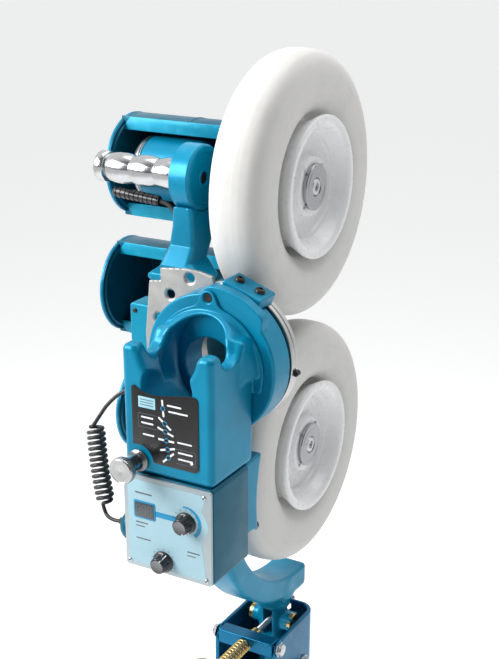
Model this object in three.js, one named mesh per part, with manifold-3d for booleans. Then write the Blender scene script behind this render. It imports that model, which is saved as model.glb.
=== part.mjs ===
// Two-wheel baseball pitching machine on a tripod.
// Millimetres. The model is laid out about the ball line: X is to the operator's right, Y is the
// way the ball is thrown and Z is up, with the origin midway between the wheels. The last section
// lifts the whole machine so that it stands on Z = 0 with its footprint centred on the origin.
import * as THREE from 'three';
import { mergeVertices } from 'three/addons/utils/BufferGeometryUtils.js';
import Module from 'manifold-3d';

const wasm = await Module();
wasm.setup();

// ---- driving dimensions -------------------------------------------------------------------
const GAP = 0.3; // air left between pieces that touch
const BALL_LINE_HEIGHT = 1230; // ball line above the floor

const WHEEL_RADIUS = 210;
const WHEEL_OFFSET = 222.6; // axle height above and below the ball line
const TYRE_HALF_WIDTH = 47;
const RIM_RADIUS = 113;
const RIM_HALF_WIDTH = 53;
const AXLE_RADIUS = 13.7;

const CHUTE_BORE = 43; // radius of the hole that the ball goes through
const RING_RADIUS = 110; // front ring and bearing ring
const RING_FRONT = -262;
const RING_BACK = -213;
const INDEX_FRONT = -212; // front face of the index plate
const INDEX_THICKNESS = 6;
const HOLE_CIRCLE = 129; // radius of the ring of index holes
const PLUNGER_ANGLE = 157.2; // degrees from straight up, towards the operator's left
const INDEX_STEPS = [0, 43.2, 64.2, 85.2, 106.2, 127.2]; // head angles held by the plunger

const BODY_HALF_WIDTH = 76; // chute housing and control box
const BODY_FRONT = -382;
const HOUSING_TOP = 58;
const HOUSING_BOTTOM = -139.7;
const BOX_BOTTOM = -297;
const BOX_BACK = -279;
const PANEL_FRONT = -387;

const YOKE_INNER = 242; // clears the lower tyre
const YOKE_OUTER = 284;
const YOKE_HALF_WIDTH = 31;
const POST_Y = -52;
const POST_RADIUS = 25;
const TILT_Z = -630; // tilt pivot
const SCREW_Z = -549; // elevation screw

const BRACKET_HALF_WIDTH = 60;
const BRACKET_FRONT = -155;
const BRACKET_WALL = 7;
const BRACKET_TOP = -535;
const BRACKET_BOTTOM = -700;
const PAN_Y = -78; // swivel axis of the tripod
const CROSSBAR_Y = -142;

const GUARD_RADIUS = 85;
const GUARD_WALL = 5.5;
const MOTOR_RADIUS = 53;
const SIDE_PLATE = [-68, -56]; // faces of the head's side plate
const BOSS_CENTRE = [-105, 241]; // Y and Z of the handle boss
const BOSS_SPAN = [-138, -101]; // its left and right faces
const KEEPER_DEGREES = 20; // keeper block, to the right of the top
const CORD_RADIUS = 3;
const COIL_RADIUS = 15;

const SCREW_FRONT = -292; // front of the elevation screw's handwheel
const HANDWHEEL_RADIUS = 40;
const FLOOR = -BALL_LINE_HEIGHT;
const SPINDLE_RADIUS = 20;
const LEG_RADIUS = 17;
const LEG_TOP = [52, -790]; // distance from the swivel axis, height
const LEG_FOOT = [600, FLOOR + 18];
const LEG_ANGLES = [90, 210, 330];

// ---- colours ------------------------------------------------------------------------------
const finish = (color, roughness, metalness) => () =>
  new THREE.MeshStandardMaterial({ color, roughness, metalness });
const bluePaint = finish(0x0b7fa8, 0.35, 0.5);
const violetBlue = finish(0x274a8c, 0.3, 0.5);
const whitePolyurethane = finish(0xe9e8e4, 0.6, 0);
const whitePaint = finish(0xf4f4f2, 0.25, 0.1);
const aluminium = finish(0xc9cbcd, 0.3, 0.9);
const castAluminium = finish(0x9a9a98, 0.55, 0.8);
const brass = finish(0xb99a4a, 0.35, 0.9);
const steel = finish(0xaeb2b6, 0.35, 0.9);
const blackPlastic = finish(0x141416, 0.5, 0);
const panelFace = finish(0xb9d2df, 0.45, 0.2);
const rubber = finish(0x1c1c1c, 0.85, 0);

// ---- geometry helpers ---------------------------------------------------------------------
function volumeOf(position, index) {
  const [a, b, c] = [new THREE.Vector3(), new THREE.Vector3(), new THREE.Vector3()];
  let volume = 0;
  for (let i = 0; i < index.length; i += 3) {
    a.fromBufferAttribute(position, index[i]);
    b.fromBufferAttribute(position, index[i + 1]);
    c.fromBufferAttribute(position, index[i + 2]);
    volume += a.dot(b.cross(c)) / 6;
  }
  return volume;
}

// Merges shared corners, drops collapsed triangles and turns the faces outwards.
function closed(geometry) {
  geometry.deleteAttribute('normal');
  geometry.deleteAttribute('uv');
  const merged = mergeVertices(geometry, 1e-4);
  const kept = [];
  const source = merged.index.array;
  for (let i = 0; i < source.length; i += 3) {
    const [a, b, c] = [source[i], source[i + 1], source[i + 2]];
    if (a !== b && b !== c && c !== a) kept.push(a, b, c);
  }
  if (volumeOf(merged.attributes.position, kept) < 0) kept.reverse();
  merged.setIndex(kept);
  return merged;
}

const toSolid = (geometry) => {
  const mesh = closed(geometry.clone());
  return new wasm.Manifold(
    new wasm.Mesh({
      numProp: 3,
      vertProperties: Float32Array.from(mesh.attributes.position.array),
      triVerts: Uint32Array.from(mesh.index.array),
    }),
  );
};

function fromSolid(solid) {
  const mesh = solid.getMesh();
  const geometry = new THREE.BufferGeometry();
  geometry.setAttribute('position', new THREE.BufferAttribute(mesh.vertProperties, 3));
  geometry.setIndex(Array.from(mesh.triVerts));
  return geometry;
}

function join(first, ...others) {
  return fromSolid(others.reduce((sum, next) => sum.add(toSolid(next)), toSolid(first)));
}

function cut(first, ...tools) {
  return fromSolid(tools.reduce((rest, tool) => rest.subtract(toSolid(tool)), toSolid(first)));
}

// A box given by its lowest and highest corner.
function block(low, high) {
  const size = high.map((value, i) => value - low[i]);
  const middle = high.map((value, i) => (value + low[i]) / 2);
  return new THREE.BoxGeometry(...size).translate(...middle);
}

const turnTo = {
  x: (geometry) => geometry.rotateZ(-Math.PI / 2),
  y: (geometry) => geometry,
  z: (geometry) => geometry.rotateX(Math.PI / 2),
};

// A turned piece: profile is a list of [distance along the axis, radius].
function turned(axis, profile, centre = [0, 0, 0], segments = 18) {
  const points = profile.map(([along, radius]) => new THREE.Vector2(radius, along));
  const geometry = turnTo[axis](new THREE.LatheGeometry(points, segments));
  return closed(geometry).translate(...centre);
}

function rod(axis, from, to, radius, centre = [0, 0, 0], segments = 16) {
  return turned(axis, [[from, 0], [from, radius], [to, radius], [to, 0]], centre, segments);
}

function tube(axis, from, to, inner, outer, centre = [0, 0, 0], segments = 28) {
  const profile = [[from, inner], [from, outer], [to, outer], [to, inner], [from, inner]];
  return turned(axis, profile, centre, segments);
}

// A bar of round section between two points.
function bar(from, to, radius, segments = 12) {
  const [a, b] = [new THREE.Vector3(...from), new THREE.Vector3(...to)];
  const way = b.clone().sub(a);
  const geometry = new THREE.CylinderGeometry(radius, radius, way.length(), segments);
  const turn = new THREE.Quaternion().setFromUnitVectors(new THREE.Vector3(0, 1, 0), way.normalize());
  return closed(geometry.applyQuaternion(turn).translate(...a.add(b).multiplyScalar(0.5).toArray()));
}

function outline(points) {
  return new THREE.Shape(points.map(([u, v]) => new THREE.Vector2(u, v)));
}

function arc(centre, radius, fromDegrees, toDegrees, steps) {
  return Array.from({ length: steps + 1 }, (_, i) => {
    const angle = THREE.MathUtils.degToRad(fromDegrees + ((toDegrees - fromDegrees) * i) / steps);
    return [centre[0] + radius * Math.cos(angle), centre[1] + radius * Math.sin(angle)];
  });
}

// An outline in X and Z, thickened from one Y to another.
function plateY(points, yFrom, yTo) {
  const geometry = new THREE.ExtrudeGeometry(outline(points), {
    depth: yTo - yFrom,
    bevelEnabled: false,
  });
  return closed(geometry.rotateX(Math.PI / 2).translate(0, yTo, 0));
}

// An outline in Y and Z, thickened from one X to another.
function plateX(points, xFrom, xTo) {
  const geometry = new THREE.ExtrudeGeometry(outline(points), {
    depth: xTo - xFrom,
    bevelEnabled: false,
  });
  return closed(geometry.rotateX(Math.PI / 2).rotateZ(Math.PI / 2).translate(xFrom, 0, 0));
}

// An outline in X and Y, thickened from one Z to another.
function plateZ(points, zFrom, zTo) {
  const geometry = new THREE.ExtrudeGeometry(outline(points), {
    depth: zTo - zFrom,
    bevelEnabled: false,
  });
  return closed(geometry.translate(0, 0, zFrom));
}

function roundedRectangle([left, low], [right, high], radius, steps = 4) {
  return [
    ...arc([right - radius, low + radius], radius, -90, 0, steps),
    ...arc([right - radius, high - radius], radius, 0, 90, steps),
    ...arc([left + radius, high - radius], radius, 90, 180, steps),
    ...arc([left + radius, low + radius], radius, 180, 270, steps),
  ];
}

const machine = new THREE.Group();

function piece(name, geometry, material) {
  const mesh = new THREE.Mesh(geometry, material());
  mesh.name = name;
  machine.add(mesh);
}

// ---- wheels -------------------------------------------------------------------------------
function tyreProfile() {
  const middle = (WHEEL_RADIUS + RIM_RADIUS - 2) / 2;
  const half = (WHEEL_RADIUS - RIM_RADIUS + 2) / 2;
  const squareness = 2 / 2.7;
  const steps = 12;
  return Array.from({ length: steps + 1 }, (_, i) => {
    const angle = (2 * Math.PI * (i % steps)) / steps;
    const [c, s] = [Math.cos(angle), Math.sin(angle)];
    return [
      TYRE_HALF_WIDTH * Math.sign(s) * Math.abs(s) ** squareness,
      middle + half * Math.sign(c) * Math.abs(c) ** squareness,
    ];
  });
}

function rimProfile() {
  const seat = RIM_RADIUS - 13;
  return [
    [-32, AXLE_RADIUS + GAP],
    [-32, 42],
    [8, 46],
    [8, 84],
    [-38, seat - 4],
    [-RIM_HALF_WIDTH, RIM_RADIUS - 5],
    [-RIM_HALF_WIDTH, RIM_RADIUS],
    [-RIM_HALF_WIDTH + 4, RIM_RADIUS],
    [-22, seat],
    [22, seat],
    [RIM_HALF_WIDTH - 4, RIM_RADIUS],
    [RIM_HALF_WIDTH, RIM_RADIUS],
    [RIM_HALF_WIDTH, RIM_RADIUS - 5],
    [42, seat - 4],
    [24, 84],
    [20, 80],
    [20, 50],
    [35, 46],
    [35, AXLE_RADIUS + GAP],
    [-32, AXLE_RADIUS + GAP],
  ];
}

function hubProfile() {
  const shaftEnd = SIDE_PLATE[0] - 6;
  return [
    [shaftEnd, 0],
    [shaftEnd, AXLE_RADIUS],
    [35 + GAP, AXLE_RADIUS],
    [35 + GAP, 37],
    [41, 37],
    [42, 36],
    [42, 13],
    [39, 11],
    [39, 7],
    [36, 7],
    [36, 0],
  ];
}

for (const [place, side] of [['top', 1], ['bottom', -1]]) {
  const centre = [0, 0, side * WHEEL_OFFSET];
  // The tyre's bore clears the rim's flanges.
  const tyre = cut(turned('x', tyreProfile(), centre, 40), rod('x', -70, 70, RIM_RADIUS + 0.9, centre, 40));
  piece(`${place}_tyre`, tyre, whitePolyurethane);
  piece(`${place}_rim`, turned('x', rimProfile(), centre, 24), whitePaint);
  piece(`${place}_hub`, turned('x', hubProfile(), centre, 12), aluminium);
}

// ---- motors and guards --------------------------------------------------------------------
// Section of an open-fronted guard: an arc of wall with a flat lip along each front edge.
function guardSection(centre, front) {
  const inner = GUARD_RADIUS - GUARD_WALL;
  const [lipLow, lipHigh, lipDepth] = [62, 84, 6];
  const reach = centre[0] - front;
  const edge = (radius) => THREE.MathUtils.radToDeg(Math.acos((lipDepth - reach) / radius));
  const [outerEdge, innerEdge] = [edge(GUARD_RADIUS), edge(inner)];
  const y = (value) => centre[0] + value;
  const z = (value) => centre[1] + value;
  return [
    ...arc(centre, GUARD_RADIUS, -outerEdge, outerEdge, 16),
    [y(lipDepth - reach), z(lipHigh)],
    [y(-reach), z(lipHigh)],
    [y(-reach), z(lipLow)],
    [y(lipDepth - reach), z(lipLow)],
    ...arc(centre, inner, innerEdge, -innerEdge, 16),
    [y(lipDepth - reach), z(-lipLow)],
    [y(-reach), z(-lipLow)],
    [y(-reach), z(-lipHigh)],
    [y(lipDepth - reach), z(-lipHigh)],
  ];
}

// A guard is closed on the left by a whole disc and open along its front.
function guard(centre, front, left, right) {
  const disc = rod('x', left, left + GUARD_WALL, GUARD_RADIUS, [0, ...centre], 28);
  return join(plateX(guardSection(centre, front), left, right), disc);
}

for (const [place, side] of [['top', 1], ['bottom', -1]]) {
  const height = side * WHEEL_OFFSET;
  piece(`${place}_motor_guard`, guard([20, height], -15, -318, SIDE_PLATE[0] - GAP), bluePaint);
  const motor = turned('x', [[-265, 0], [-265, 50], [-262, MOTOR_RADIUS], [-164, MOTOR_RADIUS],
    [-160, 49], [-160, 30], [-75, 30], [-75, 0]], [0, 0, height]);
  piece(`${place}_motor`, motor, bluePaint);
  const cap = turned('x', [[-284, 0], [-284, 20], [-280, 44], [-275, 51], [-265 - GAP, 52],
    [-265 - GAP, 0]], [0, 0, height]);
  piece(`${place}_motor_cap`, cap, aluminium);
}
piece('centre_guard', guard([40, -3], 10, -356, -112), bluePaint);

// ---- turning head -------------------------------------------------------------------------
function headFrame() {
  const [left, right] = SIDE_PLATE;
  const plate = join(
    rod('x', left, right, 105, [0, 0, WHEEL_OFFSET], 24),
    rod('x', left, right, 105, [0, 0, -WHEEL_OFFSET], 24),
    block([left, -62, -WHEEL_OFFSET], [right, 70, WHEEL_OFFSET]),
    block([-111.7, -184, -62], [right, -20, 62]),
    tube('y', -184.7, -176, 52, 103),
  );
  const clearances = [1, -1].flatMap((side) => [
    rod('x', left - 1, right + 1, 30.6, [0, 0, side * WHEEL_OFFSET], 16),
    rod('x', -53, 53, WHEEL_RADIUS + 4, [0, 0, side * WHEEL_OFFSET], 40),
  ]);
  const bore = rod('y', -190, -170, 52, [0, 0, 0], 36);
  return cut(plate, ...clearances, bore, block([-53, -170, -60], [0, 0, 60]));
}
piece('head_frame', headFrame(), bluePaint);
piece('bearing_ring', tube('y', -205.4, -185, 52, RING_RADIUS, [0, 0, 0], 32), aluminium);

function fromVertical(radius, degreesLeft) {
  const angle = THREE.MathUtils.degToRad(degreesLeft);
  return [-radius * Math.sin(angle), radius * Math.cos(angle)];
}

function indexPlate() {
  const back = INDEX_FRONT + INDEX_THICKNESS;
  const shape = [
    ...arc([0, 0], 52, 96, 258, 14).reverse(),
    [-24, 120],
    [-48, 125],
    [-73, 126],
    [-118, 121],
    [-118, 101],
    [-139, 98],
    [-148, 14],
    ...arc([0, 0], 148, 184, 250, 10),
    [-22, -140],
  ];
  const plate = plateY(shape, INDEX_FRONT, back);
  const holes = INDEX_STEPS.map((step) => {
    const [x, z] = fromVertical(HOLE_CIRCLE, PLUNGER_ANGLE - step);
    return turned('y', [[INDEX_FRONT - 1, 0], [INDEX_FRONT - 1, 11], [INDEX_FRONT + 2.5, 7.5],
      [back + 1, 7.5], [back + 1, 0]], [x, 0, z], 10);
  });
  return cut(plate, ...holes);
}
piece('index_plate', indexPlate(), castAluminium);

const [bossLeft, bossRight] = BOSS_SPAN;
const bossProfile = [[bossLeft, 0], [bossLeft, 49], [bossLeft + 3, 52], [bossRight - 3, 52],
  [bossRight, 49], [bossRight, 13], [bossRight - 6, 11], [bossRight - 6, 0]];
piece('handle_boss', turned('x', bossProfile, [0, ...BOSS_CENTRE], 20), bluePaint);

function handleProfile() {
  const [start, bulge, waist, swell] = [BOSS_SPAN[0] - GAP, 46, 22, 3];
  const points = [[start, 0]];
  for (let i = 0; i <= 12; i += 1) {
    const along = (i / 4) * bulge;
    points.push([start - along, waist + swell * Math.abs(Math.sin((Math.PI * i) / 4))]);
  }
  const end = start - 3 * bulge;
  return [...points, [end - 2, 21], [end - 4, 25], [end - 19, 25], [end - 22, 22], [end - 22, 0]];
}
piece('handle', turned('x', handleProfile(), [0, ...BOSS_CENTRE], 14), aluminium);

// The arm drops from the boss and leans towards the operator to the back of the index plate.
function headArm() {
  const side = [[-146, 200], [-66, 200], [-84, 150], [-112, 112], [-150, 84], [-205, 84], [-205, 108],
    [-172, 112], [-150, 140]];
  const front = [[-136, 212], [-103, 212], [-98, 170], [-94, 118], [-60, 100], [-60, 80], [-124, 80],
    [-148, 100], [-142, 140], [-137, 170]];
  const arm = toSolid(plateX(side, -170, -50)).intersect(toSolid(plateY(front, -206 + GAP, -30)));
  const bossRoom = rod('x', -180, -90, 52 + GAP, [0, ...BOSS_CENTRE], 32);
  const ringRoom = rod('y', -206, -150, RING_RADIUS + 1, [0, 0, 0], 48);
  const rimRoom = rod('x', -53, 53, WHEEL_RADIUS + 4, [0, 0, WHEEL_OFFSET], 72);
  return cut(fromSolid(arm), bossRoom, ringRoom, rimRoom);
}
piece('head_arm', headArm(), bluePaint);
piece('junction_box', plateY(roundedRectangle([-192, -58], [-114, 48], 3), -190, -146), bluePaint);
piece('strain_relief', bar([-304, -66, 191], [-212, -66, 184], 9, 18), rubber);

// ---- chute and its fixed ring -------------------------------------------------------------
function plungerBore(radius, from, to) {
  const [x, z] = fromVertical(HOLE_CIRCLE, PLUNGER_ANGLE);
  return rod('y', from, to, radius, [x, 0, z], 12);
}

function chuteHousing() {
  const back = RING_FRONT - GAP;
  const face = [[-BODY_HALF_WIDTH, HOUSING_BOTTOM], [BODY_HALF_WIDTH, HOUSING_BOTTOM], [BODY_HALF_WIDTH, 40],
    [70, 53], [62, HOUSING_TOP], [-62, HOUSING_TOP], [-70, 53], [-BODY_HALF_WIDTH, 40]];
  const shell = plateY(face, BODY_FRONT, back);
  const hoodProfile = [[-318, 0], [-318, 60], [-300, 70], [-280, 84], [back, 100], [back, 0]];
  const hood = turned('y', hoodProfile, [0, 0, 0], 24);
  const hoodTop = cut(hood, block([-200, -400, -200], [200, -200, 0]));
  const trough = bar([0, -420, 88], [0, -288, 8], 50, 32);
  const mouth = bar([0, -420, 108], [0, -318, 50], 50, 32);
  const bore = rod('y', -330, back + 1, CHUTE_BORE, [0, 0, 0], 32);
  return cut(join(shell, hoodTop), trough, mouth, bore, plungerBore(6.5, BODY_FRONT - 1, back + 1));
}
piece('chute_housing', chuteHousing(), bluePaint);

const ringProfile = [[RING_FRONT, CHUTE_BORE], [RING_FRONT, 108], [RING_FRONT + 2, RING_RADIUS],
  [RING_BACK, RING_RADIUS], [RING_BACK, CHUTE_BORE], [RING_FRONT, CHUTE_BORE]];
piece('front_ring', turned('y', ringProfile, [0, 0, 0], 32), bluePaint);

// The keeper block is bolted over the ring, to the right of the top.
const onKeeper = (geometry) => geometry.rotateY(THREE.MathUtils.degToRad(KEEPER_DEGREES));
const keeperBlock = cut(
  block([-34, -240, RING_RADIUS - 6], [34, -192, RING_RADIUS + 14]),
  rod('y', -260, -170, RING_RADIUS + 0.8, [0, 0, 0], 64),
);
piece('keeper_block', onKeeper(keeperBlock), bluePaint);
for (const [name, x] of [['keeper_screw_1', -18], ['keeper_screw_2', 18]]) {
  const top = RING_RADIUS + 14 + GAP;
  const profile = [[top, 0], [top, 8], [top + 3, 7.4], [top + 5.5, 4], [top + 5.5, 0]];
  const head = turned('z', profile, [x, -216, 0], 20);
  piece(name, onKeeper(head), blackPlastic);
}

// ---- index plunger ------------------------------------------------------------------------
const [plungerX, plungerZ] = fromVertical(HOLE_CIRCLE, PLUNGER_ANGLE);
const bushing = turned('y', [[BODY_FRONT - GAP, 6], [BODY_FRONT - GAP, 17], [BODY_FRONT - 4, 17],
  [BODY_FRONT - 8, 12], [BODY_FRONT - 16, 11], [BODY_FRONT - 16, 6], [BODY_FRONT - GAP, 6]],
[plungerX, 0, plungerZ], 14);
piece('plunger_bushing', bushing, aluminium);
const plunger = turned('y', [[INDEX_FRONT - 0.8, 0], [INDEX_FRONT - 0.8, 4], [INDEX_FRONT - 3, 5],
  [BODY_FRONT - 17, 5], [BODY_FRONT - 17, 14], [BODY_FRONT - 32, 14], [BODY_FRONT - 36, 20],
  [BODY_FRONT - 47, 20], [BODY_FRONT - 49, 18], [BODY_FRONT - 49, 0]], [plungerX, 0, plungerZ], 14);
piece('plunger', plunger, aluminium);

// ---- label and controls -------------------------------------------------------------------
function labelPlate() {
  const face = plateY(roundedRectangle([-59, -118], [54, -1], 8), BODY_FRONT - 1.1, BODY_FRONT - GAP);
  return cut(face, rod('y', -400, -370, 26, [plungerX, 0, plungerZ], 32));
}
piece('label_plate', labelPlate(), blackPlastic);

const boxHalfWidth = BODY_HALF_WIDTH + 1;
const boxOutline = roundedRectangle([-boxHalfWidth, BOX_BOTTOM], [boxHalfWidth, HOUSING_BOTTOM - GAP], 5);
piece('control_box', plateY(boxOutline, BODY_FRONT, BOX_BACK), bluePaint);
const panelOutline = roundedRectangle(
  [-BODY_HALF_WIDTH, BOX_BOTTOM + 1],
  [BODY_HALF_WIDTH, HOUSING_BOTTOM - 1.3],
  4,
);
piece('control_panel', plateY(panelOutline, PANEL_FRONT, BODY_FRONT - GAP), panelFace);
const windowOutline = roundedRectangle([-56, -209], [-23, -185], 2);
piece('display_window', plateY(windowOutline, PANEL_FRONT - 1.8, PANEL_FRONT - GAP), blackPlastic);

const knobPlaces = { speed_knob: [33, -199.5], pitch_knob: [-8, -275] };
for (const [name, [x, z]] of Object.entries(knobPlaces)) {
  const knob = turned('y', [[PANEL_FRONT - GAP, 0], [PANEL_FRONT - GAP, 17], [PANEL_FRONT - 4, 17],
    [PANEL_FRONT - 6, 14], [PANEL_FRONT - 19, 12.5], [PANEL_FRONT - 20, 11.5], [PANEL_FRONT - 20, 0]],
  [x, 0, z], 16);
  piece(name, knob, blackPlastic);
}

// ---- cord from the box to the fixed ring ---------------------------------------------------
const BOX_SIDE = -BODY_HALF_WIDTH - 1;
piece('cord_entry', turned('x', [[BOX_SIDE - GAP, 0], [BOX_SIDE - GAP, 25], [BOX_SIDE - 8, 25],
  [BOX_SIDE - 18, 20], [BOX_SIDE - 24, 9], [BOX_SIDE - 24, 0]], [0, -356, -246], 14), bluePaint);
const glandX = -BODY_HALF_WIDTH - GAP;
piece('cord_gland', turned('x', [[glandX, 0], [glandX, 9], [glandX - 6, 9], [glandX - 8, 6.5],
  [glandX - 24, 5], [glandX - 24, 0]], [0, -290, -48], 14), rubber);
const inletOutline = roundedRectangle([-318, -287], [-288, -265], 3);
piece('power_inlet', plateX(inletOutline, BOX_SIDE - 6, BOX_SIDE - GAP), blackPlastic);

function cordTube(points, radius) {
  const path = new THREE.CatmullRomCurve3(points.map((p) => new THREE.Vector3(...p)));
  const section = new THREE.Shape();
  section.absarc(0, 0, radius, 0, 2 * Math.PI, false);
  const steps = Math.round(path.getLength() / (radius * 5));
  const sweep = { steps, curveSegments: 5, extrudePath: path, bevelEnabled: false };
  return closed(new THREE.ExtrudeGeometry(section, sweep));
}

const leadRoute = [[-100.6, -290, -48], [-112, -290, -48.5], [-128, -292, -54], [-146, -298, -68],
  [-160, -306, -84], [-168, -314, -98], [-170, -320, -107]];
piece('cord_lead', cordTube(leadRoute, CORD_RADIUS), rubber);
piece('cord_coil', bar([-170, -324, -113], [-142, -344, -226], COIL_RADIUS, 16), rubber);
const tailRoute = [[-141, -345, -232], [-137, -348, -240], [-130, -352, -246], [-118, -355, -248],
  [-102, -356, -246]];
piece('cord_tail', cordTube(tailRoute, CORD_RADIUS), rubber);
const motorRoute = [[-211, -66, 184], [-196, -66, 180], [-180, -70, 168], [-170, -82, 150], [-168, -98, 130],
  [-168, -118, 108], [-166, -140, 86], [-164, -154, 68], [-164, -156, 49.2]];
piece('motor_cable', cordTube(motorRoute, CORD_RADIUS + 0.5), rubber);

// ---- yoke ---------------------------------------------------------------------------------
function yoke() {
  const axle = [0, -WHEEL_OFFSET];
  const carrier = block([-72, BOX_BACK + GAP, -290], [72, -225, HOUSING_BOTTOM - GAP]);
  const bandOutline = [
    ...arc(axle, YOKE_OUTER, -185, -82, 26),
    ...arc(axle, YOKE_INNER - 1, -82, -185, 26),
  ];
  const band = plateX(bandOutline, -YOKE_HALF_WIDTH, YOKE_HALF_WIDTH);
  const post = rod('z', TILT_Z - 25, -470, POST_RADIUS, [0, POST_Y, 0], 24);
  const bosses = rod('x', -42, 42, 15, [0, POST_Y, SCREW_Z], 28);
  const boxRoom = block([-90, BODY_FRONT, BOX_BOTTOM - GAP], [90, BOX_BACK + GAP, HOUSING_BOTTOM]);
  return cut(
    join(carrier, band, post, bosses),
    rod('x', -90, 90, YOKE_INNER, [0, 0, -WHEEL_OFFSET], 56),
    block([-8.5, POST_Y - 60, SCREW_Z - 26], [8.5, POST_Y + 60, SCREW_Z + 26]),
    rod('x', -60, 60, 9.4, [0, POST_Y, TILT_Z], 24),
    boxRoom,
  );
}
piece('yoke', yoke(), bluePaint);

// ---- swivel bracket, tilt pivot and elevation screw ----------------------------------------
function uPlan(halfWidth, back, radius, front = BRACKET_FRONT) {
  return [
    [halfWidth, front],
    ...arc([halfWidth - radius, back - radius], radius, 0, 90, 8),
    ...arc([radius - halfWidth, back - radius], radius, 90, 180, 8),
    [-halfWidth, front],
  ];
}

function swivelBracket() {
  const outer = plateZ(uPlan(BRACKET_HALF_WIDTH, 0, 28), BRACKET_BOTTOM, BRACKET_TOP);
  const inner = plateZ(
    uPlan(BRACKET_HALF_WIDTH - BRACKET_WALL, -BRACKET_WALL, 21, BRACKET_FRONT - 5),
    BRACKET_BOTTOM + 10, BRACKET_TOP + 5);
  return cut(
    outer,
    inner,
    rod('x', -80, 80, 9.4, [0, POST_Y, TILT_Z], 24),
    rod('x', -80, 80, 6.4, [0, CROSSBAR_Y, SCREW_Z], 24),
    rod('y', -20, 20, 12, [0, 0, SCREW_Z], 24),
  );
}
piece('swivel_bracket', swivelBracket(), violetBlue);

const boltProfile = [[-71, 0], [-71, 14], [-61, 14], [-61, 9], [61, 9], [61, 14], [71, 14], [71, 0]];
piece('tilt_pivot_bolt', turned('x', boltProfile, [0, POST_Y, TILT_Z], 14), steel);
const crossbar = cut(
  block([-52.6, CROSSBAR_Y - 13, SCREW_Z - 13], [52.6, CROSSBAR_Y + 13, SCREW_Z + 13]),
  rod('y', CROSSBAR_Y - 20, CROSSBAR_Y + 20, 7.2, [0, 0, SCREW_Z], 20),
);
piece('crossbar', crossbar, violetBlue);
for (const [name, side] of [['crossbar_bolt_left', -1], ['crossbar_bolt_right', 1]]) {
  const bolt = turned('x', [[53 * side, 0], [53 * side, 6], [60.4 * side, 6], [60.4 * side, 11],
    [68 * side, 11], [68 * side, 0]], [0, CROSSBAR_Y, SCREW_Z], 12);
  piece(name, bolt, steel);
}

piece('elevation_screw', rod('y', SCREW_FRONT + 30, 22, 6, [0, 0, SCREW_Z], 20), steel);
piece('elevation_sleeve', tube('y', CROSSBAR_Y + 14, -112, 6.3, 10, [0, 0, SCREW_Z], 14), brass);
piece('elevation_spring', tube('y', SCREW_FRONT + 34, CROSSBAR_Y - 13.6, 9, 13, [0, 0, SCREW_Z], 14), brass);
const handwheel = turned('y', [[SCREW_FRONT + 29.7, 0], [SCREW_FRONT + 29.7, 14], [SCREW_FRONT + 20, 14],
  [SCREW_FRONT + 18, HANDWHEEL_RADIUS - 2], [SCREW_FRONT + 16, HANDWHEEL_RADIUS],
  [SCREW_FRONT + 2, HANDWHEEL_RADIUS], [SCREW_FRONT, HANDWHEEL_RADIUS - 2], [SCREW_FRONT, 0]],
[0, 0, SCREW_Z], 20);
piece('elevation_knob', handwheel, brass);

// ---- tripod -------------------------------------------------------------------------------
function onTripod(distance, height, degrees) {
  const angle = THREE.MathUtils.degToRad(degrees);
  return [distance * Math.cos(angle), PAN_Y + distance * Math.sin(angle), height];
}

function alongLeg(fraction, degrees) {
  const distance = LEG_TOP[0] + (LEG_FOOT[0] - LEG_TOP[0]) * fraction;
  const height = LEG_TOP[1] + (LEG_FOOT[1] - LEG_TOP[1]) * fraction;
  return onTripod(distance, height, degrees);
}

piece('pan_spindle', turned('z', [[-820, 0], [-820, SPINDLE_RADIUS], [-712.4, SPINDLE_RADIUS], [-712.4, 50],
  [BRACKET_BOTTOM - GAP, 50], [BRACKET_BOTTOM - GAP, 0]], [0, PAN_Y, 0], 20), steel);

function tripodHub() {
  const [top, bottom, bore] = [-713, -872, SPINDLE_RADIUS + 0.5];
  const profile = [[bottom, bore], [bottom, 38], [top - 14, 38], [top - 8, 56], [top, 56], [top, bore],
    [bottom, bore]];
  const column = turned('z', profile, [0, PAN_Y, 0], 20);
  const alongEach = (from, to, radius) =>
    LEG_ANGLES.map((angle) => bar(alongLeg(from, angle), alongLeg(to, angle), radius, 12));
  const sockets = alongEach(-0.03, 0.16, 24);
  const bores = alongEach(0.02, 0.2, LEG_RADIUS + 0.6);
  const spindleRoom = rod('z', bottom - 10, top + 10, bore, [0, PAN_Y, 0], 20);
  const knobHole = rod('y', PAN_Y - 60, PAN_Y, 6.4, [0, 0, -748], 20);
  return cut(join(column, ...sockets), ...bores, spindleRoom, knobHole);
}
piece('tripod_hub', tripodHub(), bluePaint);

LEG_ANGLES.forEach((angle, i) => {
  piece(`leg_${i + 1}`, bar(alongLeg(0.025, angle), alongLeg(0.97, angle), LEG_RADIUS, 12), aluminium);
  const end = alongLeg(1, angle);
  const tip = new THREE.SphereGeometry(24, 10, 6).translate(...end);
  const boot = join(bar(alongLeg(0.9, angle), end, 24, 12), closed(tip));
  const ground = block([end[0] - 60, end[1] - 60, FLOOR - 40], [end[0] + 60, end[1] + 60, FLOOR]);
  const legRoom = bar(alongLeg(0.85, angle), alongLeg(0.9705, angle), LEG_RADIUS + 0.6, 12);
  piece(`foot_${i + 1}`, cut(boot, ground, legRoom), rubber);
});

const lockKnob = turned('y', [[PAN_Y - 88, 0], [PAN_Y - 88, 20], [PAN_Y - 70, 22], [PAN_Y - 64, 10],
  [PAN_Y - 46, 10], [PAN_Y - 46, 6], [PAN_Y - 22, 6], [PAN_Y - 22, 0]], [0, 0, -748], 16);
piece('pan_lock_knob', lockKnob, blackPlastic);

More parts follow.
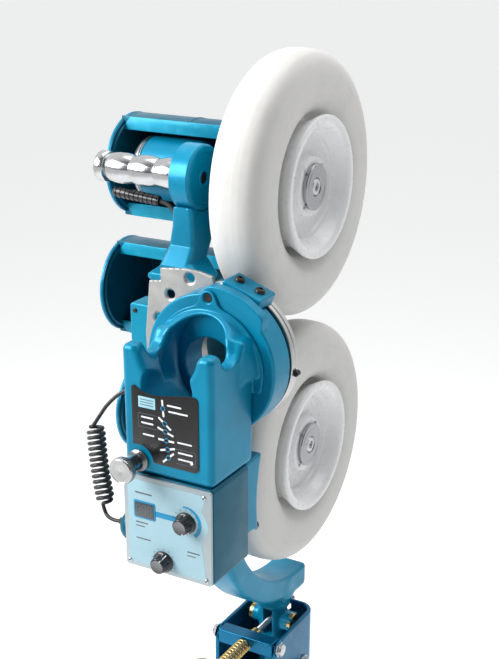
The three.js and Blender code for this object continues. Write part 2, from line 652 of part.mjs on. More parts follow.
// ---- stand the machine on the floor --------------------------------------------------------
const cordNames = ['cord_lead', 'cord_coil', 'cord_tail', 'cord_gland', 'cord_entry'];
const footprint = new THREE.Box3();
for (const mesh of machine.children) {
  if (!cordNames.includes(mesh.name)) footprint.expandByObject(mesh);
}
machine.position.set(-(footprint.min.x + footprint.max.x) / 2, -(footprint.min.y + footprint.max.y) / 2,
  BALL_LINE_HEIGHT);

export default machine;
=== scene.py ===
"""The looks of the pitching machine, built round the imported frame.

Lengths in this script are millimetres about the ball line: X to the operator's right, Y the way
the ball is thrown, Z up, zero midway between the wheels. at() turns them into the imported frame.
"""
import math

import bmesh
import bpy
import numpy as np
from mathutils import Matrix, Vector


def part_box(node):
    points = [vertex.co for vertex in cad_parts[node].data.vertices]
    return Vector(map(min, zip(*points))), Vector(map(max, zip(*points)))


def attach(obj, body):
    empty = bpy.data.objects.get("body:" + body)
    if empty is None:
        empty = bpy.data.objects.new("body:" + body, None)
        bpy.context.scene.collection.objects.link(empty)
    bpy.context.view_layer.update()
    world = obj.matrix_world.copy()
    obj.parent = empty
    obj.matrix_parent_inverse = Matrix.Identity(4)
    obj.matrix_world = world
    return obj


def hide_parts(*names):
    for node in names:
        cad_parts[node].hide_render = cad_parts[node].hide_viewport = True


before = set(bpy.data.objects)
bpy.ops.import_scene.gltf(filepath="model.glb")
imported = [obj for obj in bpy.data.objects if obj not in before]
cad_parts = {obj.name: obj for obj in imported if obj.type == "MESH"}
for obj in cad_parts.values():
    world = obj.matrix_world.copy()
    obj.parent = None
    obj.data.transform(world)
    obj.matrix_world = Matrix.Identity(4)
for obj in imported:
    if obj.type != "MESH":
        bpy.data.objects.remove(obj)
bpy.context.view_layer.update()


def middle(node):
    low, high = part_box(node)
    return (low + high) / 2


# ---- places taken from the frame ------------------------------------------------------------
TOP_HUB, BOTTOM_HUB = middle("top_tyre"), middle("bottom_tyre")
ORIGIN = (TOP_HUB + BOTTOM_HUB) / 2
WHEEL_OFFSET = (TOP_HUB.z - BOTTOM_HUB.z) * 500
tyre_low, tyre_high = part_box("top_tyre")
TYRE_RADIUS = (tyre_high.z - tyre_low.z) * 500
TYRE_HALF = (tyre_high.x - tyre_low.x) * 500
FLOOR = -ORIGIN.z * 1000


def at(x, y, z):
    return Vector((ORIGIN.x + x / 1000, ORIGIN.y + y / 1000, ORIGIN.z + z / 1000))


# ---- camera and light -----------------------------------------------------------------------
SENSOR = 36.0
LENS = 67.93


def add_camera():
    azimuth, elevation, roll = (math.radians(a) for a in (29.244, 22.495, 0.194))
    back = Vector((math.sin(azimuth) * math.cos(elevation), -math.cos(azimuth) * math.cos(elevation),
                   math.sin(elevation)))
    right = Vector((math.cos(azimuth), math.sin(azimuth), 0))
    up = back.cross(right)
    side = right * math.cos(roll) + up * math.sin(roll)
    top = up * math.cos(roll) - right * math.sin(roll)
    data = bpy.data.cameras.new("camera")
    data.sensor_width = SENSOR
    data.lens = LENS
    data.shift_x = -0.0045
    data.shift_y = 0.1213
    camera = bpy.data.objects.new("camera", data)
    bpy.context.scene.collection.objects.link(camera)
    turn = Matrix((side, top, back)).transposed().to_4x4()
    camera.matrix_world = Matrix.Translation(at(906, -1749, 649)) @ turn
    bpy.context.scene.camera = camera


def add_area_light(name, place, target, size, power, color=(1, 1, 1)):
    data = bpy.data.lights.new(name, "AREA")
    data.shape = "RECTANGLE"
    data.size, data.size_y = size
    data.energy = power
    data.color = color
    light = bpy.data.objects.new(name, data)
    bpy.context.scene.collection.objects.link(light)
    light.location = at(*place)
    way = at(*target) - light.location
    light.rotation_euler = way.to_track_quat("-Z", "Y").to_euler()


def add_sky(tree):
    """A pale surround: brightest behind the machine, dim on its right and in front."""
    background = tree.nodes["Background"]
    way = tree.nodes.new("ShaderNodeTexCoord")
    shade = tree.nodes.new("ShaderNodeVectorMath")
    shade.operation = "DOT_PRODUCT"
    shade.inputs[1].default_value = (-0.55, 0.75, 0.35)
    tree.links.new(way.outputs["Generated"], shade.inputs[0])
    ramp = tree.nodes.new("ShaderNodeValToRGB")
    ramp.color_ramp.elements[0].position = 0.0
    ramp.color_ramp.elements[0].color = (0.16, 0.17, 0.18, 1)
    ramp.color_ramp.elements[1].position = 0.42
    ramp.color_ramp.elements[1].color = (1, 1, 1, 1)
    tree.links.new(shade.outputs["Value"], ramp.inputs["Fac"])
    tree.links.new(ramp.outputs["Color"], background.inputs["Color"])
    background.inputs["Strength"].default_value = 0.95


def add_studio():
    floor_mesh = bpy.data.meshes.new("floor")
    half = 30.0
    corners = [(-half, -half, 0), (half, -half, 0), (half, half, 0), (-half, half, 0)]
    floor_mesh.from_pydata(corners, [], [(0, 1, 2, 3)])
    floor = bpy.data.objects.new("floor", floor_mesh)
    bpy.context.scene.collection.objects.link(floor)
    material = bpy.data.materials.new("floor")
    material.use_nodes = True
    shader = material.node_tree.nodes["Principled BSDF"]
    shader.inputs["Base Color"].default_value = (0.9, 0.9, 0.9, 1)
    shader.inputs["Roughness"].default_value = 0.8
    shader.inputs["Emission Color"].default_value = (1, 1, 1, 1)
    shader.inputs["Emission Strength"].default_value = 0.3
    floor_mesh.materials.append(material)
    world = bpy.data.worlds.new("studio")
    world.use_nodes = True
    add_sky(world.node_tree)
    bpy.context.scene.world = world
    add_area_light("key", (-1500, -1500, 1100), (0, -100, 0), (1.3, 1.3), 66)
    add_area_light("top", (200, 500, 1900), (0, 0, 0), (2.0, 2.0), 26)
    bpy.context.scene.view_settings.view_transform = "Standard"


add_camera()
add_studio()


# ---- materials ------------------------------------------------------------------------------
class Nodes:
    """Short calls for building one material's node tree."""

    def __init__(self, name):
        self.material = bpy.data.materials.new(name)
        self.material.use_nodes = True
        self.tree = self.material.node_tree
        self.shader = self.tree.nodes["Principled BSDF"]
        self.place = self.tree.nodes.new("ShaderNodeTexCoord").outputs["Object"]

    def new(self, kind, **values):
        node = self.tree.nodes.new("ShaderNode" + kind)
        for key, value in values.items():
            setattr(node, key, value)
        return node

    def link(self, source, target):
        self.tree.links.new(source, target)

    def set(self, **values):
        for key, value in values.items():
            self.shader.inputs[key.replace("_", " ")].default_value = value

    def noise(self, scale, detail=3.0, source=None, roughness=0.5):
        node = self.new("TexNoise")
        node.inputs["Scale"].default_value = scale
        node.inputs["Detail"].default_value = detail
        node.inputs["Roughness"].default_value = roughness
        self.link(source or self.place, node.inputs["Vector"])
        return node.outputs["Fac"]

    def lines(self, scale, axis, centre):
        """Noise that depends only on the distance from an axis and the place along it."""
        shift = self.new("VectorMath", operation="SUBTRACT")
        self.link(self.place, shift.inputs[0])
        shift.inputs[1].default_value = centre
        split = self.new("SeparateXYZ")
        self.link(shift.outputs[0], split.inputs[0])
        across = [a for a in "XYZ" if a != axis]
        flat = self.new("CombineXYZ")
        for a, slot in zip(across, ("X", "Y")):
            self.link(split.outputs[a], flat.inputs[slot])
        radius = self.new("VectorMath", operation="LENGTH")
        self.link(flat.outputs[0], radius.inputs[0])
        pair = self.new("CombineXYZ")
        self.link(radius.outputs["Value"], pair.inputs["X"])
        self.link(split.outputs[axis], pair.inputs["Y"])
        return self.noise(scale, 2.0, pair.outputs[0])

    def ramp(self, source, low, high, start=0.3, end=0.7):
        node = self.new("ValToRGB")
        node.color_ramp.elements[0].position = start
        node.color_ramp.elements[1].position = end
        node.color_ramp.elements[0].color = as_color(low)
        node.color_ramp.elements[1].color = as_color(high)
        self.link(source, node.inputs["Fac"])
        return node.outputs["Color"]

    def worn_and_lit_edges(self, base, edge_wear_and_highlight, amount=0.5, start=0.53, end=0.62):
        """Mixes a lighter colour over base where the surface is sharply convex and a noise lets it: a painted
        highlight along the edges, laid in patches like wear.
        """
        pointy = self.new("NewGeometry").outputs["Pointiness"]
        edge = self.ramp(pointy, 0.0, 1.0, start, end)
        patch = self.ramp(self.noise(60, 4), 0.0, amount, 0.5, 0.75)
        product = self.new("Math", operation="MULTIPLY")
        self.link(edge, product.inputs[0])
        self.link(patch, product.inputs[1])
        mix = self.new("Mix", data_type="RGBA")
        self.link(product.outputs[0], mix.inputs["Factor"])
        self.link(base, mix.inputs["A"])
        mix.inputs["B"].default_value = as_color(edge_wear_and_highlight)
        return mix.outputs["Result"]

    def bump(self, source, strength, distance=0.001, after=None):
        node = self.new("Bump")
        node.inputs["Strength"].default_value = strength
        node.inputs["Distance"].default_value = distance
        self.link(source, node.inputs["Height"])
        if after:
            self.link(after, node.inputs["Normal"])
        return node.outputs["Normal"]


def as_color(value):
    if isinstance(value, (int, float)):
        return (value, value, value, 1)
    return (*value, 1)


def painted(name, color, metallic=0.25, rough=0.36, texture=0.06):
    n = Nodes(name)
    dark = [c * 0.86 for c in color]
    light = [min(1, c * 1.12) for c in color]
    base = n.ramp(n.noise(9, 5), dark, light, 0.35, 0.65)
    # The edge colour is a lighter tint of the paint itself: a painted highlight on sharp edges, not bare
    # metal.
    edge_wear_and_highlight = [min(1, c * 1.6 + 0.06) for c in color]
    n.link(n.worn_and_lit_edges(base, edge_wear_and_highlight, 0.7), n.shader.inputs["Base Color"])
    n.link(n.ramp(n.noise(35, 4), rough - 0.05, rough + 0.07), n.shader.inputs["Roughness"])
    n.set(Metallic=metallic, Coat_Weight=0.12, Coat_Roughness=0.15, Specular_IOR_Level=0.22)
    grain = n.bump(n.noise(900, 2), texture, 0.0004)
    n.link(n.bump(n.noise(60, 3), 0.03, 0.002, grain), n.shader.inputs["Normal"])
    return n.material


def cast_skin(name, color, edge_wear_and_highlight, metallic, rough):
    n = Nodes(name)
    base = n.ramp(n.noise(40, 6), [c * 0.8 for c in color], color, 0.3, 0.7)
    # Lighter aluminium on sharp edges: partly rubbed wear, partly a painted highlight.
    n.link(n.worn_and_lit_edges(base, edge_wear_and_highlight, 0.9), n.shader.inputs["Base Color"])
    n.link(n.ramp(n.noise(90, 5), rough - 0.12, rough + 0.1), n.shader.inputs["Roughness"])
    n.set(Metallic=metallic)
    n.link(n.bump(n.noise(260, 5, roughness=0.65), 0.35, 0.0006), n.shader.inputs["Normal"])
    return n.material


def turned_metal(name, color, axis, centre, rough=0.22, lines=2600):
    n = Nodes(name)
    rings = n.lines(lines, axis, centre)
    n.link(n.ramp(rings, [c * 0.78 for c in color], color, 0.3, 0.7), n.shader.inputs["Base Color"])
    n.link(n.ramp(rings, rough - 0.06, rough + 0.12), n.shader.inputs["Roughness"])
    n.set(Metallic=1.0, Anisotropic=0.5)
    n.link(n.bump(rings, 0.12, 0.0002), n.shader.inputs["Normal"])
    return n.material


def tyre_skin(name, centre):
    n = Nodes(name)
    broad = n.lines(130, "X", centre)
    fine = n.lines(900, "X", centre)
    mix = n.new("Math", operation="ADD")
    n.link(broad, mix.inputs[0])
    n.link(n.noise(25, 4), mix.inputs[1])
    color = n.ramp(mix.outputs[0], (0.655, 0.645, 0.62), (0.70, 0.69, 0.665), 0.7, 1.25)
    n.link(color, n.shader.inputs["Base Color"])
    n.link(n.ramp(n.noise(80, 4), 0.5, 0.68), n.shader.inputs["Roughness"])
    n.set(Specular_IOR_Level=0.35, Subsurface_Weight=0.04, Subsurface_Radius=(0.01, 0.01, 0.01))
    lined = n.bump(fine, 0.12, 0.0008)
    n.link(n.bump(n.noise(700, 3), 0.04, 0.0005, lined), n.shader.inputs["Normal"])
    return n.material


def moulded(name, color, rough=0.45, grain=0.1, coat=0.0, scale=700, spread=1.25):
    n = Nodes(name)
    light = [min(1, c * spread + 0.002) for c in color]
    n.link(n.ramp(n.noise(45, 4), color, light), n.shader.inputs["Base Color"])
    n.link(n.ramp(n.noise(120, 3), rough - 0.06, rough + 0.08), n.shader.inputs["Roughness"])
    n.set(Coat_Weight=coat, Coat_Roughness=0.1)
    n.link(n.bump(n.noise(scale, 3), grain, 0.0004), n.shader.inputs["Normal"])
    return n.material


def metre(x, y, z):
    """A place for a node's socket, in metres."""
    return tuple(at(x, y, z))


BLUE = (0.0, 0.235, 0.40)
MATERIALS = {
    "paint": painted("blue_paint", BLUE),
    "motor_paint": painted("motor_paint", (0.0, 0.23, 0.40), 0.25, 0.4),
    "box_paint": painted("box_paint", (0.0, 0.27, 0.42), 0.25, 0.4),
    "dark_paint": painted("dark_paint", (0.0, 0.11, 0.18), 0.4, 0.42, 0.12),
    "bracket": painted("bracket_paint", (0.004, 0.13, 0.26), 0.7, 0.28, 0.03),
    "top_tyre": tyre_skin("top_tyre_skin", metre(0, 0, WHEEL_OFFSET)),
    "bottom_tyre": tyre_skin("bottom_tyre_skin", metre(0, 0, -WHEEL_OFFSET)),
    "white": moulded("white_gloss", (0.84, 0.845, 0.85), 0.3, 0.0, 0.3, 300, 1.01),
    "top_hub": turned_metal("top_hub_metal", (0.42, 0.43, 0.44), "X", metre(0, 0, WHEEL_OFFSET)),
    "bottom_hub": turned_metal("bottom_hub_metal", (0.42, 0.43, 0.44), "X", metre(0, 0, -WHEEL_OFFSET)),
    "ring": turned_metal("ring_metal", (0.62, 0.62, 0.62), "Y", metre(0, 0, 0), 0.26, 1800),
    "ring_x": turned_metal("motor_end_metal", (0.5, 0.51, 0.52), "X", metre(0, 0, WHEEL_OFFSET), 0.3, 900),
    "handle": turned_metal("handle_metal", (0.60, 0.61, 0.62), "X", metre(0, -105, 241), 0.16, 1500),
    "plunger_metal": turned_metal("plunger_metal", (0.6, 0.6, 0.6), "Y", metre(-50, 0, -119), 0.2, 2400),
    "plunger_dark": turned_metal("plunger_dark", (0.24, 0.24, 0.25), "Y", metre(-50, 0, -119), 0.24, 1500),
    "speed_knob_cap": turned_metal("speed_cap_metal", (0.20, 0.21, 0.22), "Y", metre(33, 0, -199.5), 0.26,
                                   3000),
    "pitch_knob_cap": turned_metal("pitch_cap_metal", (0.20, 0.21, 0.22), "Y", metre(-8, 0, -275), 0.26,
                                   3000),
    "leg": moulded("leg_aluminium", (0.5, 0.51, 0.52), 0.34, 0.04, 0.0, 700, 1.06),
    "zinc": moulded("yellow_zinc", (0.5, 0.36, 0.13), 0.28, 0.05),
    "cord": moulded("cord_jacket", (0.022, 0.023, 0.024), 0.42, 0.1),
    "cast": cast_skin("cast_aluminium", (0.50, 0.49, 0.47), (0.7, 0.7, 0.68), 0.75, 0.5),
    "brass": moulded("brass", (0.56, 0.40, 0.16), 0.28, 0.05),
    "steel": moulded("zinc_steel", (0.52, 0.53, 0.55), 0.28, 0.06),
    "black": moulded("black_plastic", (0.012, 0.012, 0.014), 0.32, 0.06, 0.3),
    "dark_screw": moulded("black_oxide", (0.035, 0.033, 0.032), 0.38, 0.1),
    "rubber": moulded("rubber", (0.016, 0.016, 0.017), 0.55, 0.15),
    "label": moulded("label_film", (0.006, 0.006, 0.007), 0.3, 0.02, 0.0, 700, 1.2),
    "ink_white": moulded("ink_white", (0.75, 0.77, 0.78), 0.5, 0.02),
    "ink_blue": moulded("ink_blue", (0.0, 0.24, 0.46), 0.45, 0.02),
    "ink_pale": moulded("ink_pale", (0.30, 0.56, 0.66), 0.45, 0.02),
    "ink_grey": moulded("ink_grey", (0.10, 0.11, 0.12), 0.5, 0.02),
    "panel": moulded("panel_silver", (0.41, 0.48, 0.51), 0.36, 0.04, 0.0, 700, 1.04),
    "panel_field": moulded("panel_field", (0.36, 0.56, 0.64), 0.42, 0.04, 0.0, 700, 1.04),
    "glass": moulded("display_glass", (0.035, 0.045, 0.05), 0.12, 0.0, 0.6),
}
for metal in ("brass", "steel", "dark_screw", "leg", "zinc"):
    shader = MATERIALS[metal].node_tree.nodes["Principled BSDF"]
    shader.inputs["Metallic"].default_value = 1.0 if metal != "dark_screw" else 0.7
MATERIALS["panel"].node_tree.nodes["Principled BSDF"].inputs["Metallic"].default_value = 0.45


# ---- mesh helpers ---------------------------------------------------------------------------
def make(name, verts, faces, material, body, cad=(), slot=None, crease=30, width=0.0, segments=2):
    """A piece from points in millimetres; width rounds its sharp edges."""
    mesh = bpy.data.meshes.new(name)
    mesh.from_pydata([at(*v) for v in verts], [], [list(f) for f in faces])
    return finish_mesh(mesh, name, material, body, cad, crease, width, segments)


def finish_mesh(mesh, name, material, body, cad, crease, width=0.0, segments=2):
    tidy = bmesh.new()
    tidy.from_mesh(mesh)
    bmesh.ops.remove_doubles(tidy, verts=tidy.verts, dist=2e-6)
    bmesh.ops.recalc_face_normals(tidy, faces=tidy.faces)
    if width:
        limit = math.radians(crease)
        sharp = [e for e in tidy.edges if e.is_manifold and e.calc_face_angle(0) > limit]
        bmesh.ops.bevel(tidy, geom=sharp, offset=width / 1000, segments=segments, profile=0.5,
                        affect="EDGES", clamp_overlap=True)
    tidy.to_mesh(mesh)
    tidy.free()
    for polygon in mesh.polygons:
        polygon.use_smooth = True
    mesh.set_sharp_from_angle(angle=math.radians(crease))
    mesh.materials.append(MATERIALS[material])
    piece = bpy.data.objects.new(name, mesh)
    bpy.context.scene.collection.objects.link(piece)
    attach(piece, body)
    if cad:
        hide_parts(*([cad] if isinstance(cad, str) else cad))
    return piece


def axes_for(axis):
    """Direction of the axis and two directions across it."""
    return {
        "x": (Vector((1, 0, 0)), Vector((0, 1, 0)), Vector((0, 0, 1))),
        "y": (Vector((0, 1, 0)), Vector((0, 0, 1)), Vector((1, 0, 0))),
        "z": (Vector((0, 0, 1)), Vector((1, 0, 0)), Vector((0, 1, 0))),
    }[axis]


def turned_points(axis, profile, centre, segments, shape=None):
    """Rings of a turned piece. profile is (along, radius); shape may change a radius by angle."""
    main, first, second = axes_for(axis)
    verts, faces = [], []
    for along, radius in profile:
        for i in range(segments):
            angle = 2 * math.pi * i / segments
            r = shape(angle, along, radius) if shape else radius
            out = first * (r * math.cos(angle)) + second * (r * math.sin(angle))
            verts.append(tuple(Vector(centre) + main * along + out))
    closed = profile[0] == profile[-1]
    rows = len(profile)
    for j in range(rows - 1):
        for i in range(segments):
            k = (i + 1) % segments
            row, above = j * segments, (j + 1) * segments
            faces.append((row + i, row + k, above + k, above + i))
    if not closed:
        faces.append(tuple(range(segments)))
        faces.append(tuple((rows - 1) * segments + i for i in range(segments)))
    return verts, faces


def turned(name, axis, profile, centre, material, body, cad=(), slot=None, segments=96, shape=None, **more):
    verts, faces = turned_points(axis, profile, centre, segments, shape)
    return make(name, verts, faces, material, body, cad, slot, **more)


def plate(name, axis, points, start, end, material, body, cad=(), slot=None, **more):
    """An outline across an axis, thickened along it. A point holds the two other places, in order."""
    place = "xyz".index(axis)
    count = len(points)
    verts = [(*point[:place], along, *point[place:]) for along in (start, end) for point in points]
    faces = [tuple(range(count)), tuple(range(2 * count - 1, count - 1, -1))]
    faces += [(i, (i + 1) % count, count + (i + 1) % count, count + i) for i in range(count)]
    return make(name, verts, faces, material, body, cad, slot, **more)


def arc(centre, radius, start, end, steps):
    angles = [math.radians(start + (end - start) * i / steps) for i in range(steps + 1)]
    return [(centre[0] + radius * math.cos(a), centre[1] + radius * math.sin(a)) for a in angles]


def rounded(low, high, radius, steps=6):
    (left, bottom), (right, top) = low, high
    return (arc((right - radius, bottom + radius), radius, -90, 0, steps)
            + arc((right - radius, top - radius), radius, 0, 90, steps)
            + arc((left + radius, top - radius), radius, 90, 180, steps)
            + arc((left + radius, bottom + radius), radius, 180, 270, steps))


def tube_points(path, radius, sides=14, close_ends=True):
    """A round tube along points, its rings carried along without twist."""
    points = [Vector(p) for p in path]
    ways = []
    for i, point in enumerate(points):
        ahead = points[min(i + 1, len(points) - 1)] - points[max(i - 1, 0)]
        ways.append(ahead.normalized())
    across = ways[0].orthogonal().normalized()
    verts, faces = [], []
    for i, (point, way) in enumerate(zip(points, ways)):
        across = (across - way * across.dot(way)).normalized()
        other = way.cross(across)
        r = radius(i / (len(points) - 1)) if callable(radius) else radius
        for j in range(sides):
            angle = 2 * math.pi * j / sides
            verts.append(tuple(point + across * (r * math.cos(angle)) + other * (r * math.sin(angle))))
    for i in range(len(points) - 1):
        for j in range(sides):
            k = (j + 1) % sides
            faces.append((i * sides + j, i * sides + k, (i + 1) * sides + k, (i + 1) * sides + j))
    if close_ends:
        faces.append(tuple(range(sides)))
        faces.append(tuple((len(points) - 1) * sides + j for j in range(sides)))
    return verts, faces


def smooth_path(points, per_leg=8):
    """A Catmull-Rom curve through the points."""
    pts = [Vector(p) for p in points]
    out = []
    for i in range(len(pts) - 1):
        a, b, c, d = pts[max(i - 1, 0)], pts[i], pts[i + 1], pts[min(i + 2, len(pts) - 1)]
        for s in range(per_leg):
            t = s / per_leg
            out.append(0.5 * (2 * b + (c - a) * t + (2 * a - 5 * b + 4 * c - d) * t * t
                              + (3 * b - 3 * c + d - a) * t ** 3))
    return out + [pts[-1]]


# ---- solids from distance fields, for the castings ------------------------------------------
def length2(a, b):
    return np.sqrt(a * a + b * b)


def smooth_min(a, b, k):
    h = np.clip(0.5 + 0.5 * (b - a) / k, 0, 1)
    return b + (a - b) * h - k * h * (1 - h)


def smooth_max(a, b, k):
    return -smooth_min(-a, -b, k)


def box_field(p, low, high, radius=0.0):
    parts = [np.abs(p[i] - (low[i] + high[i]) / 2) - (high[i] - low[i]) / 2 + radius for i in range(3)]
    outside = np.sqrt(sum(np.maximum(q, 0) ** 2 for q in parts))
    inside = np.minimum(np.maximum(np.maximum(parts[0], parts[1]), parts[2]), 0)
    return outside + inside - radius


def disc_field(p, axis, start, end, radius, centre=(0, 0, 0), edge=0.0):
    """A round bar along an axis, its rims rounded by edge."""
    i = "xyz".index(axis)
    u, v = (p[j] - centre[j] for j in range(3) if j != i)
    radial = length2(u, v) - radius + edge
    axial = np.abs(p[i] - (start + end) / 2) - (end - start) / 2 + edge
    outside = length2(np.maximum(radial, 0), np.maximum(axial, 0))
    return np.minimum(np.maximum(radial, axial), 0) + outside - edge


def bar_field(p, a, b, radius):
    a, b = np.array(a, float), np.array(b, float)
    way = b - a
    rel = [p[i] - a[i] for i in range(3)]
    t = np.clip(sum(rel[i] * way[i] for i in range(3)) / (way @ way), 0, 1)
    return np.sqrt(sum((rel[i] - t * way[i]) ** 2 for i in range(3))) - radius


def line_field(p, a, b, radius):
    """Distance to an endless round bar through a and b."""
    a, b = np.array(a, float), np.array(b, float)
    way = (b - a) / np.linalg.norm(b - a)
    rel = [p[i] - a[i] for i in range(3)]
    t = sum(rel[i] * way[i] for i in range(3))
    return np.sqrt(sum((rel[i] - t * way[i]) ** 2 for i in range(3))) - radius


def skin(field, low, high, cell):
    """Points and quads of the surface where field is zero, one point per crossed cell."""
    low = np.array(low, float)
    counts = [int(math.ceil((high[i] - low[i]) / cell)) + 1 for i in range(3)]
    grids = np.meshgrid(*[low[i] + cell * np.arange(counts[i]) for i in range(3)], indexing="ij", sparse=True)
    value = np.broadcast_to(field(grids), counts).astype(np.float32)
    inside = value < 0
    cells = tuple(c - 1 for c in counts)
    total = np.zeros(cells + (3,), np.float32)
    hits = np.zeros(cells, np.int16)

    def part(array, offset):
        return array[tuple(slice(offset[i], offset[i] + cells[i]) for i in range(3))]

    for axis in range(3):
        others = [i for i in range(3) if i != axis]
        for corner in range(4):
            start = [0, 0, 0]
            start[others[0]], start[others[1]] = corner & 1, corner >> 1
            end = list(start)
            end[axis] = 1
            a, b = part(value, start), part(value, end)
            crossed = part(inside, start) != part(inside, end)
            t = np.where(crossed, a / np.where(crossed, a - b, 1), 0)
            for i in range(3):
                total[..., i] += np.where(crossed, t if i == axis else start[i], 0)
            hits += crossed
    index = -np.ones(cells, np.int64)
    used = hits > 0
    index[used] = np.arange(used.sum())
    place = np.argwhere(used)
    points = low + cell * (place + total[used] / hits[used][:, None])
    for _ in range(3):
        here = field([points[:, i] for i in range(3)])
        slope = np.stack([(field([points[:, j] + (0.05 if j == i else 0) for j in range(3)]) - here) / 0.05
                          for i in range(3)], 1)
        step = here[:, None] * slope / np.maximum((slope ** 2).sum(1), 0.3)[:, None]
        points = points - np.clip(step, -cell / 2, cell / 2)
    quads = []
    for axis in range(3):
        others = [i for i in range(3) if i != axis]
        window = [slice(1, c - 1) for c in counts]
        window[axis] = slice(0, counts[axis] - 1)
        ahead = list(window)
        ahead[axis] = slice(1, counts[axis])
        crossed = np.argwhere(inside[tuple(window)] != inside[tuple(ahead)])
        base = crossed + np.array([s.start for s in window])
        ring = []
        for step in ((-1, -1), (0, -1), (0, 0), (-1, 0)):
            q = base.copy()
            q[:, others[0]] += step[0]
            q[:, others[1]] += step[1]
            ring.append(index[q[:, 0], q[:, 1], q[:, 2]])
        quads.append(np.stack(ring, 1))
    return points, np.concatenate(quads)


def casting(name, field, low, high, cell, material, body, cad=(), slot=None, crease=40):
    points, quads = skin(field, low, high, cell)
    return make(name, points.tolist(), quads.tolist(), material, body, cad, slot, crease)


def polygon_field(u, v, points):
    """Signed distance to a closed outline."""
    best = np.full(np.broadcast(u, v).shape, 1e9)
    sign = np.ones(best.shape)
    count = len(points)
    for i in range(count):
        (ax, ay), (bx, by) = points[i], points[(i + 1) % count]
        ex, ey = bx - ax, by - ay
        wx, wy = u - ax, v - ay
        t = np.clip((wx * ex + wy * ey) / (ex * ex + ey * ey), 0, 1)
        best = np.minimum(best, (wx - ex * t) ** 2 + (wy - ey * t) ** 2)
        above, below = v >= ay, v < by
        left = ex * wy > ey * wx
        flip = (above & below & left) | (~above & ~below & ~left)
        sign = np.where(flip, -sign, sign)
    return sign * np.sqrt(best)


def slab(value, low, high):
    return np.maximum(low - value, value - high)


# ---- wheels ---------------------------------------------------------------------------------
RIM_RADIUS = 113
RIM_HALF = 53


def tyre_profile(steps=72):
    """A rounded section: a squared ellipse, so that the tread is flatter than a circle's."""
    bead = RIM_RADIUS - 2
    mid_radius, half = (TYRE_RADIUS + bead) / 2, (TYRE_RADIUS - bead) / 2
    power = 2 / 2.7
    points = []
    for i in range(steps + 1):
        angle = 2 * math.pi * (i % steps) / steps
        c, s = math.cos(angle), math.sin(angle)
        radius = mid_radius + half * math.copysign(abs(c) ** power, c)
        points.append((TYRE_HALF * math.copysign(abs(s) ** power, s), max(radius, RIM_RADIUS + 0.9)))
    return points


def rim_profile():
    seat = RIM_RADIUS - 13
    outer = [(RIM_HALF - 3 + 3 * math.cos(a), RIM_RADIUS - 3 + 3 * math.sin(a))
             for a in np.linspace(math.pi / 2, 0, 6)]
    face = [(RIM_HALF, RIM_RADIUS - 8), (RIM_HALF - 1, RIM_RADIUS - 12), (RIM_HALF - 4, RIM_RADIUS - 15),
            (44, RIM_RADIUS - 18), (34, 91), (28, 87.5), (26.5, 85.5), (26, 83), (21.5, 81), (20, 79),
            (20, 60), (20, 52), (22, 49.5), (26, 48.5), (33, 47.5), (34.5, 46.5), (35, 45), (35, 14.2)]
    back = [(-32, 14.2), (-32, 42), (8, 46), (8, 84), (-38, seat - 4), (-RIM_HALF, RIM_RADIUS - 5),
            (-RIM_HALF, RIM_RADIUS), (-RIM_HALF + 4, RIM_RADIUS), (-22, seat), (22, seat),
            (RIM_HALF - 6, RIM_RADIUS)]
    return back + outer + face + [back[0]]


def hub_socket(angle, along, radius):
    """The six-sided socket in a hub's screw."""
    if 6 < radius < 7.5:
        return radius * (0.93 + 0.07 * abs(math.cos(3 * angle)))
    return radius


for place, side in (("top", 1), ("bottom", -1)):
    centre = (0, 0, side * WHEEL_OFFSET)
    wheel = place + "_wheel"
    turned(place + "_tyre_skin", "x", tyre_profile(), centre, place + "_tyre", wheel, place + "_tyre",
           segments=180)
    turned(place + "_rim_dish", "x", rim_profile(), centre, "white", wheel, place + "_rim", segments=144,
           crease=50)
    turned(place + "_hub_shaft", "x", [(-74, 0.5), (-74, 12.5), (-73, 13.7), (35.3, 13.7), (35.3, 36),
           (36, 37), (41, 37), (42, 36), (42, 30), (41.6, 29.5), (41.6, 28.5), (42, 28), (42, 15.5),
           (41, 14.5), (38, 14), (38, 0.5)], centre, place + "_hub", wheel, place + "_hub", segments=96)
    turned(place + "_hub_screw", "x", [(38.2, 0.4), (38.2, 13), (40, 13.4), (41.4, 12.6), (41.8, 11.5),
           (41.8, 7.2), (39, 6.8), (39, 0.4)], centre, "steel", wheel, segments=60, shape=hub_socket)
    for turn in range(4):
        angle = math.radians(45 + 90 * turn)
        spot = (35.2, 41.5 * math.cos(angle), centre[2] + 41.5 * math.sin(angle))
        turned(f"{place}_rim_bolt_{turn + 1}", "x", [(0, 0.3), (0, 3.1), (1.4, 2.9), (2, 2.2), (2, 1.2),
               (1, 1.1), (1, 0.3)], spot, "steel", wheel, segments=24)


# ---- guards and motors ----------------------------------------------------------------------
GUARD_RADIUS = 85
GUARD_WALL = 5.5


def guard_section(centre, front, wall=GUARD_WALL, reach_out=0.0):
    outside, inside = GUARD_RADIUS + reach_out, GUARD_RADIUS - wall
    low, high, depth = 62, 84 + reach_out, 6
    reach = centre[0] - front
    first = math.degrees(math.acos((depth - reach) / outside))
    second = math.degrees(math.acos((depth - reach) / inside))
    y, z = centre
    return (arc(centre, outside, -first, first, 72)
            + [(y + depth - reach, z + high), (y - reach, z + high), (y - reach, z + low),
               (y + depth - reach, z + low)]
            + arc(centre, inside, second, -second, 72)
            + [(y + depth - reach, z - low), (y - reach, z - low), (y - reach, z - high),
               (y + depth - reach, z - high)])


